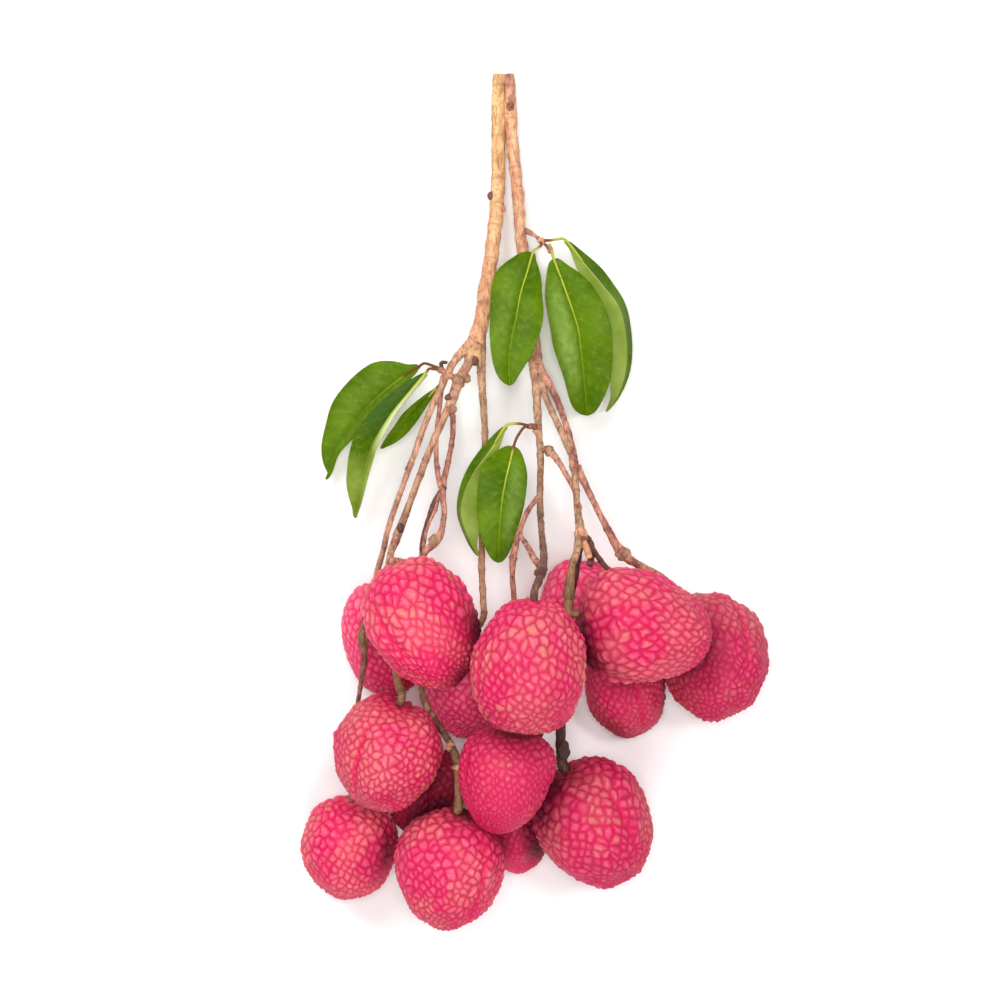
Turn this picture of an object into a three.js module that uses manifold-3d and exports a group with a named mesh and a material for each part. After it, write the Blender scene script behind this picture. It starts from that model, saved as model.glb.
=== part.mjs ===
// A bunch of lychees as picked, lying on a flat surface: fifteen fruits, their
// forked woody stem and eight leaves. Millimetres, +Z up, the surface at z = 0.
import * as THREE from 'three';
import { ConvexHull } from 'three/addons/math/ConvexHull.js';
import { mergeVertices } from 'three/addons/utils/BufferGeometryUtils.js';
import Module from 'manifold-3d';

const wasm = await Module();
wasm.setup();

// ---------------------------------------------------------------- driving sizes
const GAP = 0.35;                  // air kept between two neighbouring pieces
const TUBERCLE_SIZE = 6.2;         // mean width of one bump of the rind
const TUBERCLE_RELIEF = 1.15;      // depth of the grooves round each bump
const SHORTEST_GROOVE = 0.9;       // shorter grooves close up to one corner
const JITTER = 1.1;                // how far a bump strays from even spacing
const TIP_CROWDING = 0.16;         // how much closer the bumps stand at the tip
const EGG = 0.10;                  // how much fatter a fruit is at its stalk end
const SQUASH = 0.94;               // thickness of a fruit across its seam, as a share
const DIMPLE_DEPTH = 1.7;          // hollow that the stalk sits in
const DIMPLE_ANGLE = 0.34;         // its angular radius, in radians
const SEAM_DEPTH = 0.7;            // groove of the seam that runs from stalk to tip
const SEAM_WIDTH = 1.9;
const STALK_STRAIGHT = 3;          // length of a stalk that runs straight into its dimple
const BLADE_THICKNESS = 0.75;
const RIB_HEIGHT = 0.5;            // midrib, proud of the blade's underside at its base
const RIB_HALF_WIDTH = 0.55;
const RIB_TAPER = 0.6;             // share of the rib's height that is gone at the tip
const VEIN_HEIGHT = 0.3;           // side veins, as folds of the blade
const VEIN_SLANT = 0.075;          // how far a vein runs towards the tip, share of length
const VEIN_PAIRS = 7;
const LEAF_STALK_RADIUS = 0.65;
const LEAF_STALK_REACH = 0.12;     // how far the stalk runs on into its blade, share of length
const LEAF_STALK_END = 0.55;       // its radius there, as a share
const NARROWEST_BLADE = 0.6;       // half width at both ends of a blade
const ANY_DIRECTION = new THREE.Vector3(0.31, 0.53, 0.79);
const GOLDEN_ANGLE = Math.PI * (3 - Math.sqrt(5));

// Fruits: centre, width and length, the direction from the centre to the stalk, and
// the angle of the seam round that axis. Those with flat: true lie on the surface.
// Two shares of the width are given where a fruit's shape calls for them: egg, in
// place of EGG, and shoulder, how much fuller it is between its girth and its stalk.
const FRUITS = [
  { at: [-32.3, -36.9, 46.8], width: 33.5, length: 43.0, stalk: [-0.43, 0.80, -0.42], seam: 320 },
  { at: [-45.0, -42.8, 13.6], width: 28.5, length: 38.5, stalk: [-0.10, 0.95, 0.26], seam: 20, flat: true },
  { at: [-19.8, -57.6, 13.0], width: 29.0, length: 32.5, stalk: [0.05, 0.94, 0.30], seam: 75, flat: true },
  { at: [-1.9, -48.0, 59.6], width: 34.6, length: 42.0, stalk: [0.08, 0.95, 0.14], seam: 300, egg: -0.12 },
  { at: [31.9, -38.2, 43.6], width: 33.5, length: 43.0, stalk: [-0.97, 0.2, 0.15], seam: 100,
    egg: 0.16, shoulder: 0.06 },
  { at: [14.9, -33.0, 12.4], width: 27.5, length: 30.0, stalk: [0.16, 0.94, 0.30], seam: 60, flat: true },
  { at: [28.1, -58.9, 12.0], width: 26.6, length: 31.5, stalk: [-0.20, 0.93, 0.34], seam: 15, flat: true },
  { at: [54.4, -48.1, 17.5], width: 34.6, length: 41.5, stalk: [-0.15, 0.82, -0.55], seam: 36,
    flat: true, egg: 0.02 },
  { at: [-43.0, -75.5, 39.0], width: 34.0, length: 35.5, stalk: [0.24, 0.94, 0.22], seam: 150 },
  { at: [-55.5, -106.2, 13.6], width: 30.5, length: 34.0, stalk: [0.04, 0.96, 0.26], seam: 240, flat: true },
  { at: [-25.0, -109.4, 34.0], width: 34.0, length: 38.0, stalk: [0.14, 0.97, 0.16], seam: 39 },
  { at: [-8.8, -82.4, 43.0], width: 28.5, length: 33.5, stalk: [0.16, 0.98, -0.08], seam: 120,
    egg: 0.18, shoulder: 0.08 },
  { at: [18.3, -97.5, 25.8], width: 36.5, length: 41.5, stalk: [-0.46, 0.87, 0.18], seam: 30,
    shoulder: 0.06 },
  { at: [-5.5, -101.5, 10.0], width: 22.5, length: 28.0, stalk: [-0.18, 0.95, 0.24], seam: 80, flat: true },
  { at: [-32.8, -89.4, 12.4], width: 25.5, length: 31.0, stalk: [0.14, 0.93, 0.34], seam: 10, flat: true },
];

// ------------------------------------------------------------------ small tools
function seededRandom(seed) {
  let state = seed >>> 0;
  return () => {
    state = (Math.imul(state, 1664525) + 1013904223) >>> 0;
    return state / 4294967296;
  };
}

const vector = (xyz) => new THREE.Vector3(...xyz);

function geometryFrom(vertices, triangles) {
  const geometry = new THREE.BufferGeometry();
  geometry.setAttribute('position', new THREE.Float32BufferAttribute(vertices, 3));
  geometry.setIndex(triangles);
  return geometry;
}

function toSolid(geometry) {
  const bare = geometry.clone();
  bare.deleteAttribute('normal');
  bare.deleteAttribute('uv');
  const welded = mergeVertices(bare, 1e-4);
  return new wasm.Manifold(new wasm.Mesh({
    numProp: 3,
    vertProperties: new Float32Array(welded.attributes.position.array),
    triVerts: new Uint32Array(welded.index.array),
  }));
}

function toGeometry(solid) {
  const mesh = solid.getMesh();
  return geometryFrom(Array.from(mesh.vertProperties), Array.from(mesh.triVerts));
}

function namedMesh(name, geometry, material) {
  geometry.computeVertexNormals();
  const mesh = new THREE.Mesh(geometry, material);
  mesh.name = name;
  return mesh;
}

// ----------------------------------------------------------------------- fruits
// Axes of a fruit: along its stalk, across its seam and in the plane of its seam.
function fruitAxes(fruit) {
  const along = vector(fruit.stalk).normalize();
  const start = new THREE.Vector3(0, 0, 1).projectOnPlane(along).normalize();
  const seam = start.applyAxisAngle(along, THREE.MathUtils.degToRad(fruit.seam));
  const across = new THREE.Vector3().crossVectors(along, seam);
  return { along, seam, across };
}

// The point of the rind in one direction, sunk by so much below its bumps.
function rindPoint(fruit, axes, direction, sunk) {
  const a = direction.dot(axes.along);
  const b = direction.dot(axes.seam);
  const c = direction.dot(axes.across);
  const fromStalk = Math.acos(THREE.MathUtils.clamp(a, -1, 1));
  const dimple = DIMPLE_DEPTH * Math.exp(-((fromStalk / DIMPLE_ANGLE) ** 2));
  const shoulder = a > 0 ? 4 * (fruit.shoulder ?? 0) * a * a * (1 - a * a) : 0;
  const girth = (fruit.width / 2) * (1 + (fruit.egg ?? EGG) * a + shoulder);
  const offSeam = c * girth / SEAM_WIDTH;
  const groove = SEAM_DEPTH * Math.exp(-(offSeam ** 2)) * (1 - a * a);
  const shrink = 1 - 2 * (sunk + groove) / fruit.width;
  return vector(fruit.at)
    .addScaledVector(axes.along, a * fruit.length / 2 * shrink - dimple)
    .addScaledVector(axes.seam, b * girth * shrink)
    .addScaledVector(axes.across, c * girth * shrink * SQUASH);
}

// Evenly spread directions, closer together towards the tip, the first at the stalk.
function bumpDirections(fruit, axes, seed) {
  const random = seededRandom(seed);
  const area = Math.PI * fruit.width * (fruit.width + fruit.length) / 2 * SQUASH;
  const count = Math.round(area / TUBERCLE_SIZE ** 2);
  const stray = JITTER / Math.sqrt(count);
  const directions = [];
  for (let i = 0; i < count; i += 1) {
    const height = 1 - 2 * (i + 0.5) / count;
    const even = Math.acos(height);
    const polar = even + TIP_CROWDING * Math.sin(even);
    const turn = i * GOLDEN_ANGLE;
    const wobble = vector([random() - 0.5, random() - 0.5, random() - 0.5]);
    const direction = new THREE.Vector3()
      .addScaledVector(axes.along, Math.cos(polar))
      .addScaledVector(axes.seam, Math.sin(polar) * Math.cos(turn))
      .addScaledVector(axes.across, Math.sin(polar) * Math.sin(turn))
      .addScaledVector(wobble, stray)
      .normalize();
    directions.push(i === 0 ? axes.along.clone() : direction);
  }
  return directions;
}

// Corners where three bumps meet, one for each face of the hull of their centres.
function grooveCorners(hull, shortest) {
  const corners = new Map();
  for (const face of hull.faces) {
    const near = [face, face.getEdge(0).twin.face, face.getEdge(1).twin.face, face.getEdge(2).twin.face];
    const partner = near.slice(1).find((other) => !corners.has(other)
      && !corners.has(face) && other.normal.distanceTo(face.normal) < shortest);
    if (partner) {
      const shared = face.normal.clone().add(partner.normal).normalize();
      corners.set(face, shared);
      corners.set(partner, shared);
    } else if (!corners.has(face)) {
      corners.set(face, face.normal.clone());
    }
  }
  return corners;
}

function ringRound(direction, faces, corners) {
  const side = ANY_DIRECTION.clone().cross(direction).normalize();
  const up = new THREE.Vector3().crossVectors(direction, side);
  const ring = faces.map((face) => {
    const away = face.normal.clone().sub(direction);
    return { corner: corners.get(face), turn: Math.atan2(away.dot(up), away.dot(side)) };
  });
  ring.sort((one, other) => one.turn - other.turn);
  const order = ring.map((entry) => entry.corner);
  return order.filter((corner, i) => corner !== order[(i + 1) % order.length]);
}

function fruitGeometry(fruit, seed) {
  const axes = fruitAxes(fruit);
  const hull = new ConvexHull().setFromPoints(bumpDirections(fruit, axes, seed));
  const corners = grooveCorners(hull, 2 * SHORTEST_GROOVE / fruit.width);
  const facesRound = new Map();
  for (const face of hull.faces) {
    for (const edge of [face.getEdge(0), face.getEdge(1), face.getEdge(2)]) {
      const centre = edge.head().point;
      facesRound.set(centre, [...(facesRound.get(centre) ?? []), face]);
    }
  }
  const vertices = [];
  const triangles = [];
  const cornerIndex = new Map();
  const addPoint = (point) => vertices.push(point.x, point.y, point.z) / 3 - 1;
  for (const [direction, faces] of facesRound) {
    const peak = addPoint(rindPoint(fruit, axes, direction, 0));
    const ring = ringRound(direction, faces, corners).map((corner) => {
      if (!cornerIndex.has(corner)) {
        cornerIndex.set(corner, addPoint(rindPoint(fruit, axes, corner, TUBERCLE_RELIEF)));
      }
      return cornerIndex.get(corner);
    });
    ring.forEach((corner, i) => triangles.push(peak, corner, ring[(i + 1) % ring.length]));
  }
  const whole = geometryFrom(vertices, triangles);
  return fruit.flat ? toGeometry(toSolid(whole).trimByPlane([0, 0, 1], 0)) : whole;
}

// The last two points of a fruit's stalk: straight into its dimple, just clear of the rind.
function stalkEnd(number, radius) {
  const fruit = FRUITS[number - 1];
  const foot = fruit.length / 2 - DIMPLE_DEPTH + GAP;
  return [foot + STALK_STRAIGHT, foot].map((reach) => {
    const point = vector(fruit.at).addScaledVector(vector(fruit.stalk).normalize(), reach);
    return [...point.toArray(), radius];
  });
}

// ------------------------------------------------------------------------- wood
// A round limb with flat ends through points of x, y, z and radius.
function limb(points, sides = 6) {
  const vertices = [];
  const triangles = [];
  const centres = points.map((point) => new THREE.Vector3(point[0], point[1], point[2]));
  const last = points.length - 1;
  let side = ANY_DIRECTION.clone();
  centres.forEach((centre, i) => {
    const before = centres[Math.max(i - 1, 0)];
    const after = centres[Math.min(i + 1, last)];
    const heading = after.clone().sub(before).normalize();
    side = side.clone().projectOnPlane(heading).normalize();
    const other = new THREE.Vector3().crossVectors(heading, side);
    for (let k = 0; k < sides; k += 1) {
      const turn = 2 * Math.PI * k / sides;
      const rim = centre.clone()
        .addScaledVector(side, points[i][3] * Math.cos(turn))
        .addScaledVector(other, points[i][3] * Math.sin(turn));
      vertices.push(rim.x, rim.y, rim.z);
    }
  });
  for (let i = 0; i < last; i += 1) {
    for (let k = 0; k < sides; k += 1) {
      const next = (k + 1) % sides;
      const near = i * sides;
      const far = near + sides;
      triangles.push(near + k, near + next, far + next, near + k, far + next, far + k);
    }
  }
  for (let k = 1; k < sides - 1; k += 1) {
    triangles.push(0, k + 1, k);
    triangles.push(last * sides, last * sides + k, last * sides + k + 1);
  }
  return toSolid(geometryFrom(vertices, triangles));
}

function knob(at, radius, stretch = [1, 1, 1]) {
  const ball = new THREE.IcosahedronGeometry(radius, 1);
  ball.scale(...stretch);
  ball.translate(...at);
  return toSolid(ball);
}

// Points of x, y, z and radius. The two main stems are one fork, grown together
// at the cut end; every other limb starts inside the one that it grew from.
const MAIN_STEMS = [
  [[-10.0, 129.5, 1.85, 2.1], [-10.5, 121.5, 2.2, 2.1], [-10.5, 112.5, 3.0, 2.1],
    [-10.5, 101.5, 4.0, 2.1], [-11.0, 89.0, 6.0, 2.1], [-12.3, 76.5, 8.5, 2.2],
    [-14.1, 63.5, 11.5, 2.3], [-15.5, 53.5, 14.0, 2.3], [-17.5, 46.0, 16.5, 2.7]],
  [[-7.4, 129.5, 2.5, 1.8], [-6.9, 119.5, 3.0, 1.9], [-6.0, 106.0, 4.0, 1.8],
    [-4.5, 92.0, 6.0, 1.8], [-3.5, 78.0, 8.5, 1.8], [-1.0, 59.5, 12.5, 1.8],
    [0.5, 45.5, 16.0, 1.9], [0.7, 39.5, 17.8, 2.2]],
];

const SIDE_STEMS = [
  // Left fork, outer stem, to the hidden fruit on the surface.
  [[-17.5, 47.5, 16.5, 1.8], [-23.5, 41.0, 19.0, 1.2], [-26.0, 36.0, 21.0, 1.1],
    [-31.5, 24.0, 24.0, 1.0], [-35.0, 14.0, 26.0, 1.0], [-39.0, 3.0, 27.0, 0.9],
    [-43.0, -8.5, 26.0, 0.9], [-45.0, -16.5, 23.0, 0.9], ...stalkEnd(2, 0.9)],
  // Left fork, middle stem, which passes between two fruits.
  [[-17.0, 45.5, 17.0, 2.0], [-19.5, 40.0, 19.5, 1.4], [-22.5, 34.5, 21.0, 1.6],
    [-24.5, 28.5, 22.5, 1.4], [-27.0, 23.0, 24.0, 1.1], [-31.5, 12.5, 25.5, 1.1],
    [-36.5, -1.0, 26.5, 1.1], [-40.5, -11.5, 27.0, 1.3], [-43.0, -19.0, 28.0, 1.0],
    [-44.5, -30.0, 30.5, 1.0], [-43.3, -39.5, 31.2, 0.9], [-41.0, -49.0, 33.0, 1.0],
    [-40.0, -54.5, 35.5, 1.4], ...stalkEnd(9, 1.3)],
  // Two thin stems that meet, part again and end on the front left fruit.
  [[-24.5, 28.0, 22.5, 0.9], [-24.0, 20.0, 24.0, 0.8], [-25.0, 12.5, 25.5, 0.8],
    [-27.0, 2.5, 28.0, 1.0], [-26.5, -5.5, 31.0, 0.8], [-28.0, -12.0, 33.5, 1.1],
    [-31.8, -16.0, 34.8, 1.0], [-34.5, -19.5, 33.5, 1.0], ...stalkEnd(1, 1.1)],
  [[-23.0, 35.5, 21.0, 0.9], [-26.8, 36.0, 21.2, 0.9], [-28.0, 27.5, 23.0, 0.7],
    [-29.0, 17.0, 24.5, 0.7], [-28.7, 8.0, 26.5, 0.7], [-27.2, 1.5, 28.3, 0.9]],
  [[-27.5, 1.0, 28.0, 0.8], [-30.5, -4.0, 29.5, 0.7], [-33.5, -12.0, 31.5, 0.7],
    [-32.8, -18.4, 33.8, 0.9]],
  // Left fork, right stem, deep between the fruits to the bottom ones.
  [[-16.0, 44.0, 17.5, 1.8], [-15.5, 35.5, 18.5, 1.2], [-15.0, 27.5, 19.5, 1.1],
    [-14.5, 17.0, 20.5, 1.0], [-15.0, -1.0, 22.0, 1.0], [-15.5, -19.0, 24.0, 1.0],
    [-15.0, -31.0, 26.5, 1.0], [-15.2, -36.5, 28.0, 1.0], [-20.0, -42.5, 29.0, 1.0],
    [-28.5, -48.0, 28.3, 1.0], [-33.2, -54.5, 28.0, 1.0], [-32.2, -61.5, 28.5, 1.0],
    [-28.8, -67.0, 30.0, 1.0], [-25.0, -72.5, 32.5, 1.1], [-22.3, -79.5, 35.0, 1.4],
    ...stalkEnd(11, 1.4)],
  [[-16.5, -37.5, 28.0, 0.9], ...stalkEnd(3, 0.9)],
  [[-32.4, -60.0, 28.3, 0.9], [-30.5, -66.0, 24.5, 0.9], ...stalkEnd(15, 0.9)],
  // Twig down the outside to the lowest fruit.
  [[-43.5, -21.0, 28.5, 1.0], [-45.8, -28.0, 29.0, 0.9], [-46.8, -33.5, 30.0, 0.9],
    [-50.2, -38.5, 30.5, 1.1], [-50.8, -43.0, 30.5, 1.2], [-50.2, -48.0, 30.0, 0.9],
    [-50.9, -53.0, 28.5, 0.8], [-51.8, -58.0, 26.0, 0.7], [-52.6, -62.5, 23.5, 0.7],
    [-54.5, -72.0, 20.0, 0.7], [-56.5, -81.0, 19.0, 0.8], ...stalkEnd(10, 0.9)],
  // Right fork, centre stem, and the loops beside it.
  [[0.3, 41.0, 17.5, 1.8], [1.0, 29.0, 21.5, 1.3], [1.5, 20.0, 25.0, 1.2],
    [2.0, 11.0, 30.0, 1.2], [1.5, -1.0, 38.0, 1.2], [2.0, -9.5, 46.0, 1.1],
    [3.2, -17.0, 54.5, 1.2], [2.2, -21.5, 59.5, 1.4], ...stalkEnd(4, 1.4)],
  [[1.2, 0.0, 37.5, 0.8], [-2.0, -4.5, 39.0, 0.7], [-4.5, -11.0, 41.0, 0.8],
    [-6.0, -17.0, 43.0, 1.0], [-6.4, -23.0, 42.0, 0.8], [-6.0, -29.0, 38.0, 0.8],
    [-5.5, -37.0, 32.5, 0.8], [-5.0, -48.0, 30.0, 0.8], [-5.0, -59.0, 31.0, 0.8],
    ...stalkEnd(12, 0.9)],
  [[-4.4, -11.0, 41.0, 0.8], [-2.0, -14.5, 47.0, 0.8], [0.3, -18.5, 54.0, 1.0],
    [2.6, -21.0, 58.5, 1.1]],
  [[1.9, 14.0, 28.0, 1.0], [4.8, 13.5, 28.5, 1.1], [8.5, 8.5, 30.5, 0.8], [12.2, 1.5, 33.5, 0.8]],
  // Right fork, two outer stems that join at the next fork.
  [[0.6, 41.0, 17.5, 1.3], [4.0, 29.0, 22.0, 1.0], [8.0, 20.0, 26.0, 1.0], [11.0, 13.0, 29.0, 1.1]],
  [[1.0, 41.0, 17.5, 1.3], [7.0, 29.0, 21.5, 1.0], [10.5, 18.5, 26.0, 1.0], [12.2, 8.0, 31.0, 1.5]],
  [[12.0, 9.5, 30.5, 1.3], [12.6, -1.0, 35.0, 1.1], [13.4, -10.5, 39.0, 1.5],
    [12.5, -15.5, 42.0, 1.2], [10.8, -21.0, 44.5, 1.3], [10.2, -26.5, 46.0, 1.6],
    [10.0, -31.0, 46.5, 1.5], ...stalkEnd(5, 1.2)],
  [[13.8, -10.5, 38.0, 1.2], [16.8, -14.0, 30.0, 1.0], ...stalkEnd(6, 1.0)],
  [[13.6, -9.0, 37.5, 0.8], [16.8, -14.5, 33.5, 0.8], [19.8, -19.0, 29.5, 0.8],
    [27.6, -29.5, 25.6, 0.8], ...stalkEnd(7, 0.9)],
  [[12.6, 9.0, 31.0, 1.4], [15.5, 3.0, 31.0, 1.0], [21.0, -8.0, 30.0, 1.0],
    [26.0, -16.5, 28.5, 1.5], [31.5, -20.5, 27.0, 1.2], [38.3, -24.3, 24.5, 1.3],
    [41.5, -28.0, 18.0, 1.0], [45.0, -31.0, 10.0, 0.9], ...stalkEnd(8, 0.9)],
  // From the same fork down behind the two front fruits to the bottom right ones.
  [[13.6, -11.5, 38.5, 1.3], [12.5, -21.5, 34.0, 1.0], [10.5, -33.0, 30.5, 1.0],
    [9.5, -45.5, 29.5, 1.0], [8.5, -57.5, 29.5, 1.1], [8.0, -67.5, 30.5, 1.4],
    ...stalkEnd(13, 1.6)],
  [[8.2, -59.5, 29.6, 0.9], [3.5, -68.0, 25.5, 0.9], [-1.0, -77.0, 19.0, 0.9], ...stalkEnd(14, 0.9)],
  // Brown stalks that carry the leaves.
  [[-3.4, 81.5, 8.0, 1.2], [1.0, 79.3, 10.8, 0.9], [4.2, 77.3, 11.5, 0.8]],
  [[-27.0, 36.0, 21.2, 1.1], [-28.6, 39.4, 21.0, 1.1], [-30.4, 39.4, 20.2, 0.9]],
  [[1.4, 20.6, 25.5, 1.1], [-0.2, 20.9, 27.5, 0.9], [-1.6, 20.9, 28.6, 0.8]],
];

// Buds and leaf scars: place, radius and stretch along x, y and z.
const BUDS = [
  [[-13.0, 91.5, 6.4], 1.3, [1, 1.7, 1]],
  [[-8.7, 88.0, 6.2], 0.9, [1, 1.4, 1]],
  [[-6.9, 119.3, 4.7], 1.2, [1, 1.5, 1]],
  [[-12.0, 63.0, 11.8], 1.7, [1.1, 1.3, 1]],
  [[-18.0, 42.5, 18.0], 2.3, [1.1, 1.3, 1]],
  [[-22.5, 34.5, 21.2], 1.9, [1, 1.2, 1]],
  [[-38.2, 8.5, 26.8], 1.2, [1.1, 1.2, 1]],
  [[0.4, 19.2, 25.8], 1.3, [1, 1.5, 1]],
  [[4.6, 13.6, 28.6], 1.5, [1, 1.2, 1]],
  [[13.6, -11.2, 39.0], 1.9, [1, 1.3, 1]],
  [[26.5, -17.0, 28.2], 1.8, [1.3, 1.1, 1]],
];

function branchGeometry() {
  const limbs = [
    ...MAIN_STEMS.map((points) => limb(points, 8)),
    ...SIDE_STEMS.map((points) => limb(points, 6)),
    ...BUDS.map(([at, radius, stretch]) => knob(at, radius, stretch)),
  ];
  return toGeometry(wasm.Manifold.union(limbs).trimByPlane([0, 0, 1], 0));
}

// ----------------------------------------------------------------------- leaves
// Stations along a midrib where the half widths of its blade are given.
const STATIONS = [0, 0.08, 0.25, 0.5, 0.75, 0.92, 1];

// The stalk and the midrib as points from base to tip, the half widths to the left
// and right of the midrib as seen from the base, at the five stations between the
// ends, the angles that the halves are folded up by, and the way that the upper side
// faces at the base and at the tip.
const LEAVES = [
  { name: 'leaf_01',
    stalk: [[2.5, 76.2, 12.6], [1.0, 75.0, 13.2]],
    midrib: [[0.0, 74.0, 13.5], [-2.0, 67.2, 16.0], [-3.8, 61.2, 18.2], [-5.2, 53.6, 20.0],
      [-6.7, 46.7, 21.5], [-7.4, 40.5, 22.5], [-7.1, 33.2, 23.0]],
    left: [2.3, 5.9, 8.2, 7.2, 3.4], right: [5.2, 9.2, 8.7, 6.2, 4.0],
    fold: [14, 18], faces: [[0, 0.1, 1], [0.1, 0, 1]] },
  { name: 'leaf_02',
    stalk: [[5.0, 76.6, 12.2], [5.8, 74.0, 12.8]],
    midrib: [[6.2, 72.2, 13.0], [9.6, 63.0, 14.0], [13.3, 52.0, 14.5], [14.3, 45.9, 14.0],
      [15.0, 39.9, 13.0], [15.7, 32.9, 12.0], [16.6, 24.6, 10.0]],
    left: [3.7, 8.3, 9.9, 8.6, 4.8], right: [3.9, 7.4, 8.8, 6.4, 4.7],
    fold: [12, 16], faces: [[0, 0.1, 1], [0, 0.2, 1]] },
  { name: 'leaf_03',
    stalk: [[5.0, 77.8, 11.0], [7.6, 78.2, 10.6]],
    midrib: [[10.1, 77.8, 10.2], [15.3, 71.4, 9.8], [21.6, 64.0, 9.2], [26.6, 57.2, 8.4],
      [28.7, 47.7, 7.2], [28.6, 38.7, 6.0], [26.2, 31.0, 5.0], [22.7, 25.9, 4.0]],
    left: [3.2, 6.4, 5.2, 3.4, 1.4], right: [1.6, 4.4, 6.6, 5.2, 1.9],
    fold: [-42, -16], faces: [[0.05, 0.1, 1], [0.5, 0.1, 0.9]] },
  { name: 'leaf_04',
    stalk: [[-4.0, 21.6, 28.9], [-6.2, 21.6, 29.3]],
    midrib: [[-8.4, 20.8, 29.0], [-13.0, 13.8, 28.5], [-18.0, 7.0, 28.0], [-21.0, 0.5, 27.5],
      [-21.8, -5.5, 27.5], [-19.5, -12.5, 28.0], [-16.8, -17.6, 28.5]],
    left: [1.4, 3.0, 5.4, 5.2, 2.0], right: [2.7, 4.9, 3.7, 2.5, 1.5],
    fold: [-16, -42], faces: [[-0.05, 0.1, 1], [-0.5, 0.1, 0.9]] },
  { name: 'leaf_05',
    stalk: [[-3.0, 20.4, 29.5], [-5.0, 17.5, 30.8]],
    midrib: [[-5.9, 15.0, 31.5], [-7.1, 10.0, 33.0], [-8.5, 4.0, 34.3], [-9.6, -3.0, 35.0],
      [-10.2, -10.5, 35.0], [-10.5, -19.5, 34.5]],
    left: [3.6, 6.2, 6.7, 5.1, 3.0], right: [4.5, 7.9, 7.5, 5.8, 3.3],
    fold: [12, 10], faces: [[0.1, 0.1, 1], [0, 0, 1]] },
  { name: 'leaf_06',
    stalk: [[-31.6, 39.8, 19.6], [-33.0, 40.0, 18.9]],
    midrib: [[-34.2, 39.3, 18.2], [-40.1, 35.7, 16.0], [-46.2, 30.9, 13.8], [-52.0, 25.2, 11.6],
      [-56.2, 20.2, 9.6], [-61.0, 13.7, 7.0], [-63.4, 5.2, 3.5]],
    left: [2.1, 4.2, 3.7, 2.6, 1.9], right: [3.2, 9.2, 9.6, 5.2, 1.3],
    fold: [8, 14], faces: [[-0.1, 0.2, 1], [-0.4, -0.1, 0.8]] },
  { name: 'leaf_07',
    stalk: [[-31.0, 38.4, 20.6], [-31.7, 37.8, 20.5]],
    midrib: [[-32.3, 37.0, 20.4], [-39.5, 28.8, 19.8], [-43.0, 24.5, 18.8], [-46.4, 19.4, 17.4],
      [-49.0, 14.5, 15.6], [-51.6, 5.0, 12.5], [-54.2, -6.5, 8.0]],
    left: [0.9, 1.3, 2.6, 2.1, 1.4], right: [2.2, 4.4, 6.2, 5.4, 2.0],
    fold: [40, 24], faces: [[0.1, 0.3, 1], [-0.1, 0.1, 1]] },
  { name: 'leaf_08',
    stalk: [[-27.5, 34.0, 19.3], [-28.5, 33.2, 18.8]],
    midrib: [[-29.3, 32.4, 18.3], [-33.0, 28.4, 17.0], [-37.0, 23.9, 15.5], [-40.9, 19.4, 13.5],
      [-46.3, 14.6, 11.0]],
    left: [1.0, 1.8, 2.5, 2.1, 1.0], right: [1.0, 1.9, 2.7, 2.0, 0.9],
    fold: [20, 20], faces: [[0, 0, 1], [0, 0, 1]] },
];

// Half width of a blade at a share s of its midrib. Its square follows a smooth curve
// through the stations, which rounds both ends.
function halfWidth(widths, s) {
  const squares = [0, ...widths.map((width) => width ** 2), 0];
  const last = STATIONS.length - 1;
  const slope = (i) => {
    const before = Math.max(i - 1, 0);
    const after = Math.min(i + 1, last);
    return (squares[after] - squares[before]) / (STATIONS[after] - STATIONS[before]);
  };
  const i = Math.min(STATIONS.filter((station) => station <= s).length - 1, last - 1);
  const step = STATIONS[i + 1] - STATIONS[i];
  const t = (s - STATIONS[i]) / step;
  const square = squares[i] * (1 - t) ** 2 * (1 + 2 * t) + squares[i + 1] * t * t * (3 - 2 * t)
    + step * (slope(i) * t * (1 - t) ** 2 - slope(i + 1) * t * t * (1 - t));
  return Math.sqrt(Math.max(square, NARROWEST_BLADE ** 2));
}

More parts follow.
